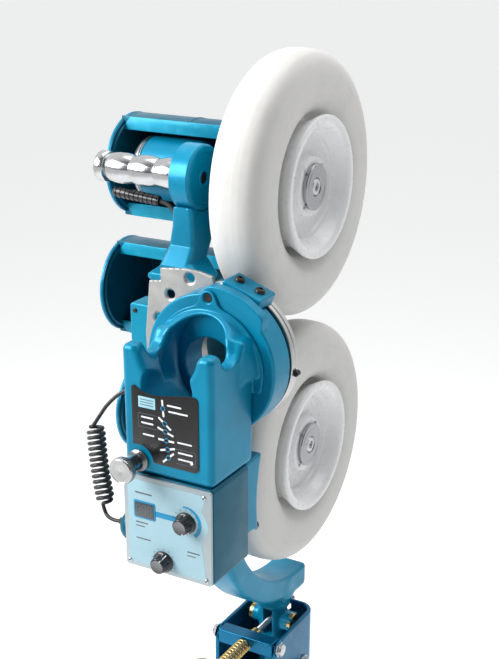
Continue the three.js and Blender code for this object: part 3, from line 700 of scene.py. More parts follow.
for place, side in (("top", 1), ("bottom", -1)):
    height = side * WHEEL_OFFSET
    centre = (0, 0, height)
    plate(place + "_guard_shell", "x", guard_section((20, height), -15), -318, -68.4, "dark_paint", "head",
          place + "_motor_guard", width=1.2)
    plate(place + "_guard_flange", "x", guard_section((20, height), -14.5, 12, 5), -78, -69, "paint", "head",
          width=1.5)
    plate(place + "_guard_seam", "x", guard_section((20, height), -14, 7.5, 0.8), -196, -189, "dark_paint",
          "head", width=0.8)
    turned(place + "_guard_rim", "x", [(-319.4, 80), (-319.4, 84), (-318.6, 85.8), (-315, 85.8), (-314.4, 85),
           (-314.4, 80), (-319.4, 80)], (0, 20, height), "motor_paint", "head", segments=128)
    for edge in (1, -1):
        near, far = height + edge * 62, height + edge * 84
        lip = [(-317, near), (-316, near + edge * 2), (-300, far), (-84, far), (-84, near)]
        plate(f"{place}_guard_lip_{'low' if edge < 0 else 'high'}", "y", lip, -16.6, -11, "box_paint",
              "head", width=1.1)
    can = [(-265, 0.5), (-265, 49), (-262, 52.4), (-258, 53), (-180, 53), (-179, 52.2), (-177, 52.2),
           (-176, 53), (-166, 53), (-162.5, 51), (-160, 47), (-160, 31), (-159, 30), (-76, 30), (-75, 29),
           (-75, 0.5)]
    turned(place + "_motor_can", "x", can, centre, "motor_paint", "head", place + "_motor", segments=96)
    turned(place + "_motor_end", "x", [(-284, 0.5), (-284, 17), (-283, 19), (-281, 42), (-279, 46),
           (-275, 50.4), (-271, 52), (-268, 52), (-267.4, 50.5), (-265.4, 50.5), (-265.4, 0.5)], centre,
           "ring_x", "head", place + "_motor_cap", segments=96)
    for turn in range(4):
        angle = math.radians(45 + 90 * turn)
        spot = (-283.4, 34 * math.cos(angle), height + 34 * math.sin(angle))
        turned(f"{place}_motor_bolt_{turn + 1}", "x", [(-2, 0.3), (-2, 2), (-1.5, 3.4), (0, 3.8), (3, 3.8),
               (3, 0.3)], spot, "dark_screw", "head", segments=24)

for name, (left, y, z) in (("top_guard", (-318, 20, WHEEL_OFFSET)), ("bottom_guard",
           (-318, 20, -WHEEL_OFFSET)), ("centre_guard", (-356, 40, -3))):
    turned(name + "_end", "x", [(left, 0.5), (left, 84), (left + 1, 85), (left + 5, 85), (left + 6, 84),
           (left + 6, 79.5), (left + 8.4, 77.4), (left + 8.4, 75), (left + 6, 72.5), (left + 6, 0.5)],
           (0, y, z), "dark_paint", "head", segments=128)
plate("centre_guard_shell", "x", guard_section((40, -3), 10), -356, -112, "dark_paint", "head",
      "centre_guard", width=1.2)
turned("centre_guard_rim", "x", [(-357.4, 80), (-357.4, 84), (-356.6, 85.8), (-353, 85.8), (-352.4, 85),
       (-352.4, 80), (-357.4, 80)], (0, 40, -3), "motor_paint", "head", segments=128)
plate("centre_guard_step", "x", guard_section((40, -3), 12, 9.5), -236, -228, "dark_paint", "head", width=1)
plate("centre_guard_flange", "x", guard_section((40, -3), 10.5, 12, 5), -121, -112.2, "paint", "head",
      width=1.5)
for edge in (1, -1):
    near, far = -3 + edge * 62, -3 + edge * 84
    lip = [(-355, near), (-354, near + edge * 2), (-338, far), (-126, far), (-126, near)]
    plate(f"centre_guard_lip_{'low' if edge < 0 else 'high'}", "y", lip, 8.4, 14, "box_paint", "head",
          width=1.1)


# ---- turning head ---------------------------------------------------------------------------
def head_frame_field(p):
    x, y, z = p
    discs = np.minimum(disc_field(p, "x", -68, -56, 105, (0, 0, WHEEL_OFFSET), 2),
                       disc_field(p, "x", -68, -56, 105, (0, 0, -WHEEL_OFFSET), 2))
    solid = smooth_min(discs, box_field(p, (-68, -62, -WHEEL_OFFSET), (-56, 70, WHEEL_OFFSET), 2), 8)
    solid = smooth_min(solid, box_field(p, (-111.7, -184, -62), (-56, -20, 62), 4), 6)
    collar = disc_field(p, "y", -184.7, -176, 103, (0, 0, 0), 1)
    solid = smooth_min(solid, collar, 3)
    for sign in (1, -1):
        solid = smooth_max(solid, 30.6 - length2(y, z - sign * WHEEL_OFFSET), 2)
        room = disc_field(p, "x", -53, 53, TYRE_RADIUS + 4, (0, 0, sign * WHEEL_OFFSET))
        solid = smooth_max(solid, -room, 2)
    solid = np.maximum(solid, 52 - length2(x, z) + 0 * y)
    return np.maximum(solid, -box_field(p, (-53, -170, -60), (200, 200, 60)))


casting("head_casting", head_frame_field, (-116, -190, -332), (108, 110, 332), 3.0, "dark_paint", "head",
        "head_frame")
turned("bearing_ring_skin", "y", [(-205.4, 52), (-205.4, 108.5), (-204.4, 110), (-197, 110), (-196.4, 109),
       (-195, 109), (-194.4, 110), (-186, 110), (-185, 109), (-185, 52), (-205.4, 52)], (0, 0, 0), "ring",
       "head", "bearing_ring", segments=180)
turned("bearing_bolt", "y", [(-1, 0.4), (-1, 3.4), (0, 4.6), (9, 4.6), (10, 3.8), (10, 0.4)],
       (112, -200, -14), "dark_screw", "head", segments=32)

HOLE_CIRCLE = 129
PLUNGER_ANGLE = 157.2
INDEX_STEPS = (0, 43.2, 64.2, 85.2, 106.2, 127.2)


def from_vertical(radius, degrees_left):
    angle = math.radians(degrees_left)
    return -radius * math.sin(angle), radius * math.cos(angle)


def index_plate_field(p):
    x, y, z = p
    shape = (arc((0, 0), 52, 258, 96, 24) + [(-24, 120), (-48, 125), (-73, 126), (-118, 121), (-118, 101),
             (-139, 98), (-148, 14)] + arc((0, 0), 148, 184, 250, 24) + [(-22, -140)])
    flat = polygon_field(x, z, shape) + 0.6
    solid = smooth_max(flat + 0 * y, slab(y, -212, -206) + 0 * flat, 1.2)
    for step in INDEX_STEPS:
        hx, hz = from_vertical(HOLE_CIRCLE, PLUNGER_ANGLE - step)
        radial = length2(x - hx, z - hz)
        solid = smooth_max(solid, 7.5 + np.maximum(0, (-209.5 - y)) * 1.4 - radial, 0.6)
    return solid


casting("index_plate_casting", index_plate_field, (-152, -214, -152), (-8, -204, 130), 1.3, "cast", "head",
        "index_plate", crease=50)

BOSS = (0, -105, 241)
turned("boss_drum", "x", [(-138, 0.5), (-138, 47), (-137, 49.5), (-134.5, 52), (-104.5, 52), (-102, 50),
       (-101, 47.5), (-101, 40), (-101.6, 39.4), (-101.6, 16), (-101, 15), (-101, 11), (-106, 10),
       (-106, 0.5)], BOSS, "paint", "head", "handle_boss", segments=128)
turned("boss_bolt", "x", [(-106, 0.4), (-106, 8.6), (-103.4, 8.6), (-102.8, 8), (-102.8, 4.4), (-105, 4.2),
       (-105, 0.4)], BOSS, "dark_screw", "head", segments=48)


def handle_profile():
    start, bulge = -138.3, 46
    points = [(start, 0.5), (start, 20)]
    for i in range(97):
        along = i / 32 * bulge
        points.append((start - 0.5 - along, 21.6 + 3.6 * abs(math.sin(math.pi * i / 32)) ** 0.85))
    end = start - 0.5 - 3 * bulge
    return points + [(end - 1, 20.8), (end - 3, 20.8), (end - 4, 23.6), (end - 6, 25), (end - 18, 25),
                     (end - 20, 24), (end - 21.4, 22), (end - 21.4, 8), (end - 18, 7), (end - 18, 0.5)]


turned("handle_grip", "x", handle_profile(), BOSS, "handle", "head", "handle", segments=96, crease=45)


def arm_field(p):
    x, y, z = p
    side = polygon_field(y, z, [(-146, 200), (-66, 200), (-84, 150), (-112, 112), (-150, 84), (-205, 84),
                                (-205, 108), (-172, 112), (-150, 140)]) + 0 * x
    front = polygon_field(x, z, [(-136, 212), (-103, 212), (-98, 170), (-94, 118), (-60, 100), (-60, 80),
                                 (-124, 80), (-148, 100), (-142, 140), (-137, 170)]) + 0 * y
    solid = smooth_max(side, front, 7)
    solid = np.maximum(solid, 52.3 - length2(y + 105, z - 241))
    solid = np.maximum(solid, np.minimum(111 - length2(x, z), slab(y, -206, -150) * -1) + 0 * solid)
    return np.maximum(solid, y * -1 - 205.7)


casting("arm_casting", arm_field, (-152, -208, 76), (-54, -60, 214), 2.0, "paint", "head", "head_arm")

plate("junction_housing", "y", rounded((-192, -58), (-114, 48), 6), -190, -146, "box_paint", "head",
      "junction_box", width=3, segments=4)
plate("junction_cover", "x", rounded((-186, -54), (-150, 44), 4), -193.6, -191.8, "motor_paint", "head",
      width=0.7)
for z in (-46, 36):
    turned(f"junction_screw_{'top' if z > 0 else 'bottom'}", "y", [(-2, 0.3), (-2, 2.4), (-1, 4), (1, 4.2),
           (1, 0.3)], (-182, -190, z), "dark_screw", "head", segments=28)


def ribbed(t):
    along = t * 92
    if along < 9:
        return 9 * math.sqrt(max(0.02, 1 - ((9 - along) / 9.2) ** 2))
    return 8.8 if (along % 9) > 2.4 else 7.6


relief_start, relief_end = Vector((-304, -66, 191)), Vector((-212, -66, 184))
verts, faces = tube_points([relief_start.lerp(relief_end, i / 150) for i in range(151)], ribbed, 28)
make("strain_relief_boot", verts, faces, "black", "head", "strain_relief", crease=50)
route = [(-211, -66, 184), (-196, -66, 180), (-180, -70, 168), (-170, -82, 150), (-168, -98, 130),
         (-168, -118, 108), (-166, -140, 86), (-164, -154, 68), (-164, -156, 49.2)]
verts, faces = tube_points(smooth_path(route), 3.5, 18)
make("motor_cable_skin", verts, faces, "rubber", "head", "motor_cable", crease=50)


def cable_nut(angle, along, radius):
    if radius > 8.5:
        return radius / max(math.cos(((angle + math.pi / 6) % (math.pi / 3)) - math.pi / 6), 0.8)
    return radius


turned("motor_cable_gland", "z", [(48.4, 1), (48.4, 9), (50, 10), (55, 10), (56, 9), (56, 7), (62, 6.4),
       (64, 5), (64, 1)], (-164, -156, 0), "black", "head", segments=6 * 8, shape=cable_nut)
plate("cable_clip", "x", rounded((-126, 96), (-112, 112), 3), -164, -140, "black", "head", width=1.5)


# ---- chute, ring and keeper -----------------------------------------------------------------
PLUNGER_X, PLUNGER_Z = from_vertical(HOLE_CIRCLE, PLUNGER_ANGLE)


def chute_field(p):
    x, y, z = p
    radial = length2(x, z)
    solid = box_field(p, (-76, -382, -139.7), (76, -262.3, 58), 10)
    solid = smooth_max(solid, 29 - length2(y + 325, z - 60) + 0 * x, 9)
    outer = np.interp(y, [-400, -306, -302, -296, -284, -262], [66, 68, 75, 79, 82, 88])
    hood = smooth_max(radial - outer, slab(y, -305, -262.3) + 0 * x, 5)
    hood = smooth_max(hood, -z - 4 + 0 * hood, 6)
    ear = length2(x, z - 103) - 13
    flange = smooth_min(radial - 93, ear, 22)
    flange = smooth_max(flange, slab(y, -267, -262.3), 1.6)
    flange = smooth_max(flange, -z - 30 + 0 * flange, 6)
    solid = smooth_min(smooth_min(solid, hood, 8), flange, 3)
    funnel = radial - 43 - np.clip(-281 - y, 0, 24) * 0.62
    solid = smooth_max(solid, -np.maximum(np.maximum(funnel, -y - 318), -z - 10), 4)
    solid = smooth_max(solid, -line_field(p, (0, -420, 88), (0, -288, 8), 48), 14)
    solid = smooth_max(solid, -line_field(p, (0, -420, 108), (0, -318, 50), 48), 12)
    screw = length2(x, z - 105) - 7.3 - np.maximum(0, -265 - y) * 0.6
    solid = smooth_max(solid, -np.maximum(screw, y + 263.5), 0.6)
    solid = smooth_max(solid, 43 - radial, 3)
    solid = np.maximum(solid, 6.5 - length2(x - PLUNGER_X, z - PLUNGER_Z))
    return np.maximum(solid, y + 262.3)


casting("chute_casting", chute_field, (-98, -386, -144), (98, -260, 120), 1.5, "paint", "chassis",
        "chute_housing", crease=60)


def ring_field(p):
    x, y, z = p
    radial = length2(x, z)
    angle = np.degrees(np.arctan2(x, z))
    lobe = 1 / (1 + np.exp(-(angle + 5) / 2)) / (1 + np.exp((angle - 50) / 2.5))
    wave = 2 * np.cos(np.radians((angle - 44) * 14)) * np.exp(-((angle - 48) / 8) ** 2)
    disc = smooth_max(radial - 110, slab(y, -262, -213), 3)
    raised = smooth_max(radial - 107 - 16 * lobe - wave, slab(y, -262, -242), 2)
    solid = smooth_min(disc, raised, 1.5)
    solid = smooth_max(solid, 43 - radial, 2)
    keeper_room = box_field(turn_back(p), (-35, -241.5, 104), (35, -191, 140))
    return np.maximum(solid, -keeper_room)


KEEPER_TURN = math.radians(20)


def turn_back(p):
    """Points turned so that the keeper block stands straight up."""
    c, s = math.cos(KEEPER_TURN), math.sin(KEEPER_TURN)
    return [p[0] * c - p[2] * s + 0 * p[1], p[1] + 0 * p[0] * p[2], p[0] * s + p[2] * c + 0 * p[1]]


def keeper_turned(verts):
    c, s = math.cos(KEEPER_TURN), math.sin(KEEPER_TURN)
    return [(x * c + z * s, y, z * c - x * s) for x, y, z in verts]


casting("front_ring_casting", ring_field, (-114, -265, -114), (130, -211, 130), 1.7, "paint", "chassis",
        "front_ring", crease=55)


def ring_socket(angle, along, radius):
    """The socket in the countersunk screw at the ring's top."""
    if radius < 3:
        return radius * (1 - 0.2 * abs(math.cos(3 * angle)))
    return radius


turned("ring_screw", "y", [(-264.2, 0.3), (-264.6, 2.4), (-264.8, 6.4), (-264, 7), (-260, 4), (-260, 0.3)],
       (0, 0, 105), "dark_screw", "chassis", segments=40,
       shape=ring_socket)


def keeper_field(p):
    q = turn_back(p)
    solid = box_field(q, (-34, -240, 104), (34, -192, 124), 3)
    return smooth_max(solid, 110.8 - length2(p[0], p[2]) + 0 * p[1], 1.5)


casting("keeper_casting", keeper_field, (-4, -243, 84), (84, -189, 134), 1.5, "paint", "chassis",
        "keeper_block", crease=60)


def socket_head(start, height, radius, socket):
    """Button head with a hexagon socket: profile and the shape that makes the socket six-sided."""
    profile = [(start, 0.3), (start, radius * 0.99), (start + height * 0.35, radius),
               (start + height * 0.7, radius * 0.88), (start + height * 0.93, radius * 0.66),
               (start + height, radius * 0.5), (start + height, socket),
               (start + height * 0.45, socket * 0.999), (start + height * 0.45, 0.3)]

    def shape(angle, along, r):
        if abs(r - socket) < 0.02:
            return r * 0.9 / math.cos((angle % (math.pi / 3)) - math.pi / 6)
        return r

    return profile, shape


for number, x in ((1, -18), (2, 18)):
    profile, shape = socket_head(124.2, 5.6, 8.2, 3.2)
    verts, faces = turned_points("z", profile, (x, -216, 0), 60, shape)
    make(f"keeper_screw_head_{number}", keeper_turned(verts), faces, "dark_screw", "chassis",
         f"keeper_screw_{number}")


# ---- plunger --------------------------------------------------------------------------------
PLUNGER = (PLUNGER_X, 0, PLUNGER_Z)
turned("plunger_flange", "y", [(-382.3, 6.2), (-382.3, 17), (-383.6, 17.2), (-385.4, 17), (-386.4, 15.6),
       (-389, 12.4), (-391, 11.6), (-398, 11), (-398, 6.2), (-382.3, 6.2)], PLUNGER, "plunger_dark",
       "chassis", "plunger_bushing", segments=96)


def knurl(angle, along, radius):
    """Fine ridges round the knob of the plunger."""
    if -428.5 < along < -420.5 and radius > 19.8:
        return radius + 0.35 * math.cos(36 * angle)
    return radius


turned("plunger_spool", "y", [(-212.8, 0.4), (-212.8, 3.6), (-215, 5), (-399, 5), (-399, 12.6), (-400, 13.8),
       (-412, 12.6), (-414, 13.4), (-417.4, 18), (-419, 19.6), (-421, 20), (-428, 20), (-429.6, 19.6),
       (-431, 18.2), (-431, 17), (-430.6, 16.4), (-430.6, 3), (-430.2, 0.4)], PLUNGER, "plunger_metal",
       "plunger", "plunger", segments=120, shape=knurl)


# ---- label ----------------------------------------------------------------------------------
def print_on(name, points, front, material, depth=0.35):
    plate(name, "y", points, front - depth, front, material, "chassis", width=0)


def ring_outline(x, z, radius, steps=40):
    return arc((x, z), radius, 0, 360, steps)[:-1]


notch_top = PLUNGER_Z + math.sqrt(26 ** 2 - (59 + PLUNGER_X) ** 2)
notch_right = PLUNGER_X + math.sqrt(26 ** 2 - (118 + PLUNGER_Z) ** 2)
first = math.degrees(math.atan2(notch_top - PLUNGER_Z, -59 - PLUNGER_X))
last = math.degrees(math.atan2(-118 - PLUNGER_Z, notch_right - PLUNGER_X))
label_outline = (arc((46, -110), 8, -90, 0, 8) + arc((46, -9), 8, 0, 90, 8) + [(20, -4.5), (-2, -8.5),
                 (-16, -10.5), (-30, -10.6), (-40, -8.4), (-47, -4.6)] + arc((-54, -6), 5, 60, 180, 6)
                 + arc((PLUNGER_X, PLUNGER_Z), 26, first, last, 24))
plate("label_film", "y", label_outline, -383.2, -382.3, "label", "chassis", "label_plate", width=0.25,
      crease=25)

INK = -383.25
# Bars that stand for the six angles of the head, each from one end to the other, in X and Z.
ANGLE_BARS = (((-6, -15), (-4, -41)), ((-13, -43), (8, -59)), ((-15, -59), (12, -68)),
              ((-14, -77), (13, -77)), ((-11, -94), (14, -87)), ((-7, -112), (12, -95)))
for number, (start, end) in enumerate(ANGLE_BARS, 1):
    start, end = Vector(start), Vector(end)
    spot, way = (start + end) / 2, (end - start).normalized()
    across = Vector((-way.y, way.x)) * 1.5
    print_on(f"label_ring_{number}", ring_outline(spot.x, spot.y, 4), INK, "ink_blue", 0.2)
    print_on(f"label_ring_{number}_inner", ring_outline(spot.x, spot.y, 2.6), INK - 0.15, "label", 0.2)
    for half, (near, far) in enumerate(((start, spot - way * 2.2), (spot + way * 2.2, end)), 1):
        bar = [near - across, near + across, far + across, far - across]
        print_on(f"label_bar_{number}_{half}", [tuple(v) for v in bar], INK, "ink_white", 0.2)
# Dashes in the places of the printed words: left end, height, length.
DASHES = ((2, -23, 24), (4, -32, 33), (-43, -49, 21), (-43, -58, 21), (-41, -76, 20), (18, -77, 25),
          (19, -93, 25), (19, -103, 25))
for number, (x, z, wide) in enumerate(DASHES, 1):
    print_on(f"label_dash_{number}", rounded((x, z), (x + wide, z + 2.6), 1.2, 4), INK, "ink_white", 0.2)
print_on("label_box", rounded((-47, -33), (-18, -16), 1), INK, "ink_pale", 0.2)
for number, z in enumerate((-21, -25, -29), 1):
    print_on(f"label_box_line_{number}", [(-44, z), (-21, z), (-21, z + 1.2), (-44, z + 1.2)], INK - 0.15,
             "ink_grey", 0.2)


def print_frame(name, left, right, low, high, open_side):
    """A thin line round three sides of a block of dashes."""
    line = 0.7
    bars = {"low": (left, low, right, low + line), "high": (left, high - line, right, high)}
    bars["side"] = (right - line, low, right, high) if open_side == "left" else (left, low, left + line, high)
    for key, (x1, z1, x2, z2) in bars.items():
        print_on(f"{name}_{key}", [(x1, z1), (x2, z1), (x2, z2), (x1, z2)], INK, "ink_grey", 0.2)


print_frame("label_left_frame", -48, -16, -64, -42, "right")
print_frame("label_right_frame", 16, 49, -109, -86, "left")
print_on("label_dot", ring_outline(42, -104, 2.6), INK, "ink_white", 0.25)


# ---- control box, panel and knobs -----------------------------------------------------------
BOX_TOP, BOX_BOTTOM, PANEL_FRONT = -140, -297, -387
plate("control_box_shell", "y", rounded((-77, BOX_BOTTOM), (77, BOX_TOP), 7), -382, -279, "dark_paint",
      "chassis", "control_box", width=2.2, segments=4)
plate("control_panel_sheet", "y", rounded((-76, BOX_BOTTOM + 1), (76, BOX_TOP - 1.3), 5), PANEL_FRONT, -382.3,
      "panel", "chassis", "control_panel", width=0.9)
SPEED, PITCH = (33, -199.5), (-8, -275)
plain_field = rounded((-69, BOX_BOTTOM + 8), (66, BOX_TOP - 9), 5, 6)
right_corner = 7  # points of the lower right corner, after which the bulge round the speed knob comes
field = plain_field[:right_corner] + arc((SPEED[0] + 8, SPEED[1]), 30, -52, 52,
                                         18) + plain_field[right_corner:]
print_on("panel_field", field, PANEL_FRONT, "panel_field", 0.25)
print_on("panel_band", [(-22, -203), (15, -203), (17, -194), (-22, -194)], PANEL_FRONT - 0.2, "ink_blue", 0.2)
sweep = arc(SPEED, 26.5, -52, 100, 40) + arc((SPEED[0] - 1.8, SPEED[1] + 1.2), 22.6, 100, -52, 40)
print_on("panel_arc", sweep, PANEL_FRONT - 0.2, "ink_blue", 0.2)
for number in range(11):
    angle = math.radians(225 - 27 * number)
    for knob, (x, z), near, far in (("speed", SPEED, 20, 22.3), ("pitch", PITCH, 19.6, 21.6)):
        if knob == "pitch" and not -20 < math.degrees(angle) < 200:
            continue
        way = Vector((math.cos(angle), math.sin(angle)))
        across = Vector((-way.y, way.x)) * 0.45
        centre = Vector((x, z))
        tick = [centre + way * near + across, centre + way * far + across, centre + way * far - across,
                centre + way * near - across]
        print_on(f"panel_tick_{knob}_{number}", [tuple(v) for v in tick], PANEL_FRONT - 0.2, "ink_grey", 0.2)
for name, x, z, wide, tall in (("one", -56, -220, 22, 2), ("two", -56, -226, 16, 1.6),
                               ("three", -56, -247, 26, 2), ("four", 34, -248, 22, 2),
                               ("five", 34, -254, 15, 1.6), ("six", -56, -171, 30, 2.4)):
    print_on(f"panel_dash_{name}", rounded((x, z), (x + wide, z + tall), tall * 0.45, 4), PANEL_FRONT - 0.2,
             "ink_grey", 0.2)

plate("display_frame", "y", rounded((-58.5, -211.5), (-20.5, -182.5), 3), PANEL_FRONT - 1.2, PANEL_FRONT,
      "ink_blue", "chassis", width=0.5)
plate("display_glass", "y", rounded((-56, -209), (-23, -185), 2), PANEL_FRONT - 1.8, PANEL_FRONT - 0.4,
      "glass", "chassis", "display_window", width=0.4)
SEGMENTS = {"a": (0, 2, 1), "b": (1, 1, 0), "c": (1, 0, 0), "d": (0, 0, 1), "e": (0, 0, 0), "f": (0, 1, 0),
            "g": (0, 1, 1)}
for digit, x in enumerate((-53, -43.5, -34)):
    for key, (right, up, flat) in SEGMENTS.items():
        left, low = x + 0.5 + right * 6, -204.5 + up * 7.5
        outline = ([(left, low), (left + 5.4, low), (left + 5.4, low + 1), (left, low + 1)] if flat else
                   [(left - 0.5, low + 1), (left + 0.5, low + 1), (left + 0.5, low + 7),
                    (left - 0.5, low + 7)])
        print_on(f"display_digit_{digit + 1}_{key}", outline, PANEL_FRONT - 1.75, "ink_grey", 0.15)


def fluted(count, depth, low, high):
    def shape(angle, along, radius):
        if low < along < high:
            return radius - depth * max(0, math.cos(count * angle)) ** 2
        return radius
    return shape


def add_knob(name, place, turn):
    x, z = place
    front = PANEL_FRONT
    turned(f"{name}_body", "y", [(front - 0.3, 0.4), (front - 0.3, 16.6), (front - 1, 17), (front - 3.4, 17),
           (front - 4.6, 16), (front - 5.6, 14.2), (front - 7, 13.8), (front - 17, 12.8),
           (front - 18.4, 12.2), (front - 19, 11.2), (front - 19, 0.4)], (x, 0, z), "black", name, name,
           segments=144, shape=fluted(10, 1.5, front - 17.5, front - 6), crease=40)
    turned(f"{name}_cap", "y", [(front - 18.8, 0.4), (front - 18.8, 10.6), (front - 19.8, 10.6),
           (front - 20, 10.2), (front - 19.7, 9.6), (front - 19.7, 0.4)], (x, 0, z), name + "_cap", name,
           segments=72)
    angle = math.radians(turn)
    way = Vector((math.cos(angle), 0, math.sin(angle)))
    across = Vector((-math.sin(angle), 0, math.cos(angle)))
    line = []
    for y, reach in ((front - 20.1, 10.4), (front - 18.6, 12.2), (front - 6.6, 14.2), (front - 4.9, 16.4)):
        point = Vector((x, y - 0.3, z)) + way * reach
        line += [point - across * 0.8, point + across * 0.8]
    faces = [(2 * i, 2 * i + 1, 2 * i + 3, 2 * i + 2) for i in range(3)]
    inner = [tuple(v - way * 0.9 + Vector((0, 0.6, 0))) for v in line]
    faces += [tuple(8 + i for i in reversed(face)) for face in faces]
    faces += [(2 * i, 2 * i + 2, 8 + 2 * i + 2, 8 + 2 * i) for i in range(3)]
    faces += [(2 * i + 3, 2 * i + 1, 8 + 2 * i + 1, 8 + 2 * i + 3) for i in range(3)]
    faces += [(0, 8, 9, 1), (6, 7, 15, 14)]
    make(f"{name}_pointer", [tuple(v) for v in line] + inner, faces, "ink_white", name)


add_knob("speed_knob", SPEED, -62)
add_knob("pitch_knob", PITCH, 62)
for number, (x, z) in enumerate(((64, -152), (67, -288), (-69, -288)), 1):
    turned(f"panel_screw_{number}", "y", [(PANEL_FRONT, 0.3), (PANEL_FRONT, 3.8), (PANEL_FRONT - 1.2, 3.6),
           (PANEL_FRONT - 2, 2.6), (PANEL_FRONT - 2.3, 0.3)], (x, 0, z), "steel", "chassis", segments=40)
    # The cross slots are thin dark strips laid on the heads, not cut into them: painted shade of the
    # recesses.
    for turn in (25, 115):
        angle = math.radians(turn)
        way = Vector((math.cos(angle), math.sin(angle))) * 2
        across = Vector((-way.y, way.x)) * 0.21
        spot = Vector((x, z))
        slot_line = [spot - way - across, spot + way - across, spot + way + across, spot - way + across]
        print_on(f"panel_screw_{number}_slot_{turn}", [tuple(v) for v in slot_line], PANEL_FRONT - 2.1,
                 "dark_screw", 0.3)

# The inlet for the mains lead, low on the left of the box.
plate("power_inlet_flange", "x", rounded((-320, -289), (-286, -263), 4), -80, -77.3, "black", "chassis",
      "power_inlet", width=0.8)
inlet = [(-315, -285), (-291, -285), (-291, -272), (-295, -267), (-311, -267), (-315, -272)]
inner_inlet = [(-303 + (y + 303) * 0.82, -276 + (z + 276) * 0.78) for y, z in inlet]
count = len(inlet)
verts = ([(-80, y, z) for y, z in inlet] + [(-84, y, z) for y, z in inlet]
         + [(-84, y, z) for y, z in inner_inlet]
         + [(-78.4, y, z) for y, z in inner_inlet])
faces = [tuple(range(3 * count, 4 * count)), tuple(range(count))]
for row in range(3):
    faces += [(row * count + i, row * count + (i + 1) % count, (row + 1) * count + (i + 1) % count,
               (row + 1) * count + i) for i in range(count)]
make("power_inlet_rim", verts, faces, "black", "chassis", width=0.4)
for number, y in enumerate((-309, -303, -297), 1):
    plate(f"power_inlet_pin_{number}", "x", rounded((y - 1, -278.5), (y + 1, -273.5), 0.6, 3), -83, -78.4,
          "steel", "chassis", width=0.25)


# ---- cord and its ends ----------------------------------------------------------------------
CORD_RADIUS = 3
COIL_CENTRE_RADIUS = 12
GLAND = (-100.6, -290, -48)
ENTRY = (-102, -356, -246)


def cord_route():
    """The centreline: a short lead, the stretched helix and the end that goes into the box."""
    start, end = Vector((-170, -324, -111)), Vector((-142, -344, -228))
    way = (end - start).normalized()
    across = way.cross(Vector((0, 1, 0))).normalized()
    other = way.cross(across)
    turns, per_turn = 14, 26
    helix = []
    for i in range(turns * per_turn + 1):
        t = i / (turns * per_turn)
        angle = 2 * math.pi * turns * t + math.pi * 0.5
        radius = COIL_CENTRE_RADIUS * min(1, 0.6 + 6 * t, 0.6 + 6 * (1 - t))
        sway = 3.0 * math.sin(math.pi * t)
        helix.append(start.lerp(end, t) + across * (radius * math.cos(angle) - sway)
                     + other * radius * math.sin(angle))
    lead = smooth_path([GLAND, (-112, -290, -48.5), (-128, -292, -54), (-146, -298, -66), (-160, -306, -82),
                        (-168, -312, -96), helix[0], helix[5]], 10)
    tail = smooth_path([helix[-6], helix[-1], (-138, -352, -241), (-130, -355, -246), (-118, -356, -248),
                       ENTRY], 10)
    return lead[:-11] + helix[:-1] + tail[10:]


def add_cord():
    points = [at(*p) for p in cord_route()]
    curve = bpy.data.curves.new("coiled_cord", "CURVE")
    curve.dimensions = "3D"
    curve.bevel_depth = CORD_RADIUS / 1000
    curve.bevel_resolution = 5
    spline = curve.splines.new("POLY")
    spline.points.add(len(points) - 1)
    for spot, point in zip(spline.points, points):
        spot.co = (*point, 1)
    curve.materials.append(MATERIALS["cord"])
    cord = bpy.data.objects.new("coiled_cord", curve)
    bpy.context.scene.collection.objects.link(cord)
    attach(cord, "chassis")
    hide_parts("cord_lead", "cord_coil", "cord_tail")


def gland_nut(angle, along, radius):
    """Six flats on the end of the gland that is against the housing."""
    if along > -82.5 and radius > 8.5:
        return radius / max(math.cos((angle % (math.pi / 3)) - math.pi / 6), 0.86) * 0.92
    return radius


add_cord()
turned("cord_gland_nut", "x", [(-76.3, 3.4), (-76.3, 9), (-77, 9.8), (-82, 9.8), (-83, 9), (-83, 7),
       (-86, 7), (-87, 6.2), (-89, 6.2), (-90, 5.4), (-92, 6), (-93, 5.2), (-95, 5.6), (-96, 4.9),
       (-98, 5.2), (-100.3, 4.2), (-100.3, 3.2), (-76.3, 3.4)], (0, -290, -48), "black", "chassis",
       "cord_gland", segments=72, shape=gland_nut)
turned("cord_entry_dome", "x", [(-77.3, 0.5), (-77.3, 24), (-78.4, 25), (-84, 25), (-86, 24.4), (-90, 22.6),
       (-94, 19.6), (-97, 15.6), (-99, 11), (-101, 9), (-101, 4.2), (-99.4, 3.6), (-99.4, 0.5)],
       (0, -356, -246), "dark_paint", "chassis", "cord_entry", segments=96)
turned("cord_entry_grommet", "x", [(-98, 3.3), (-98, 8.6), (-102.6, 8), (-104, 6.6), (-106.5, 5.6),
       (-106.5, 3.3), (-98, 3.3)], (0, -356, -246), "rubber", "chassis", segments=48)


# ---- yoke -----------------------------------------------------------------------------------
YOKE_INNER, YOKE_OUTER, YOKE_HALF = 242, 284, 31
POST_Y, TILT_Z, SCREW_Z = -52, -630, -549


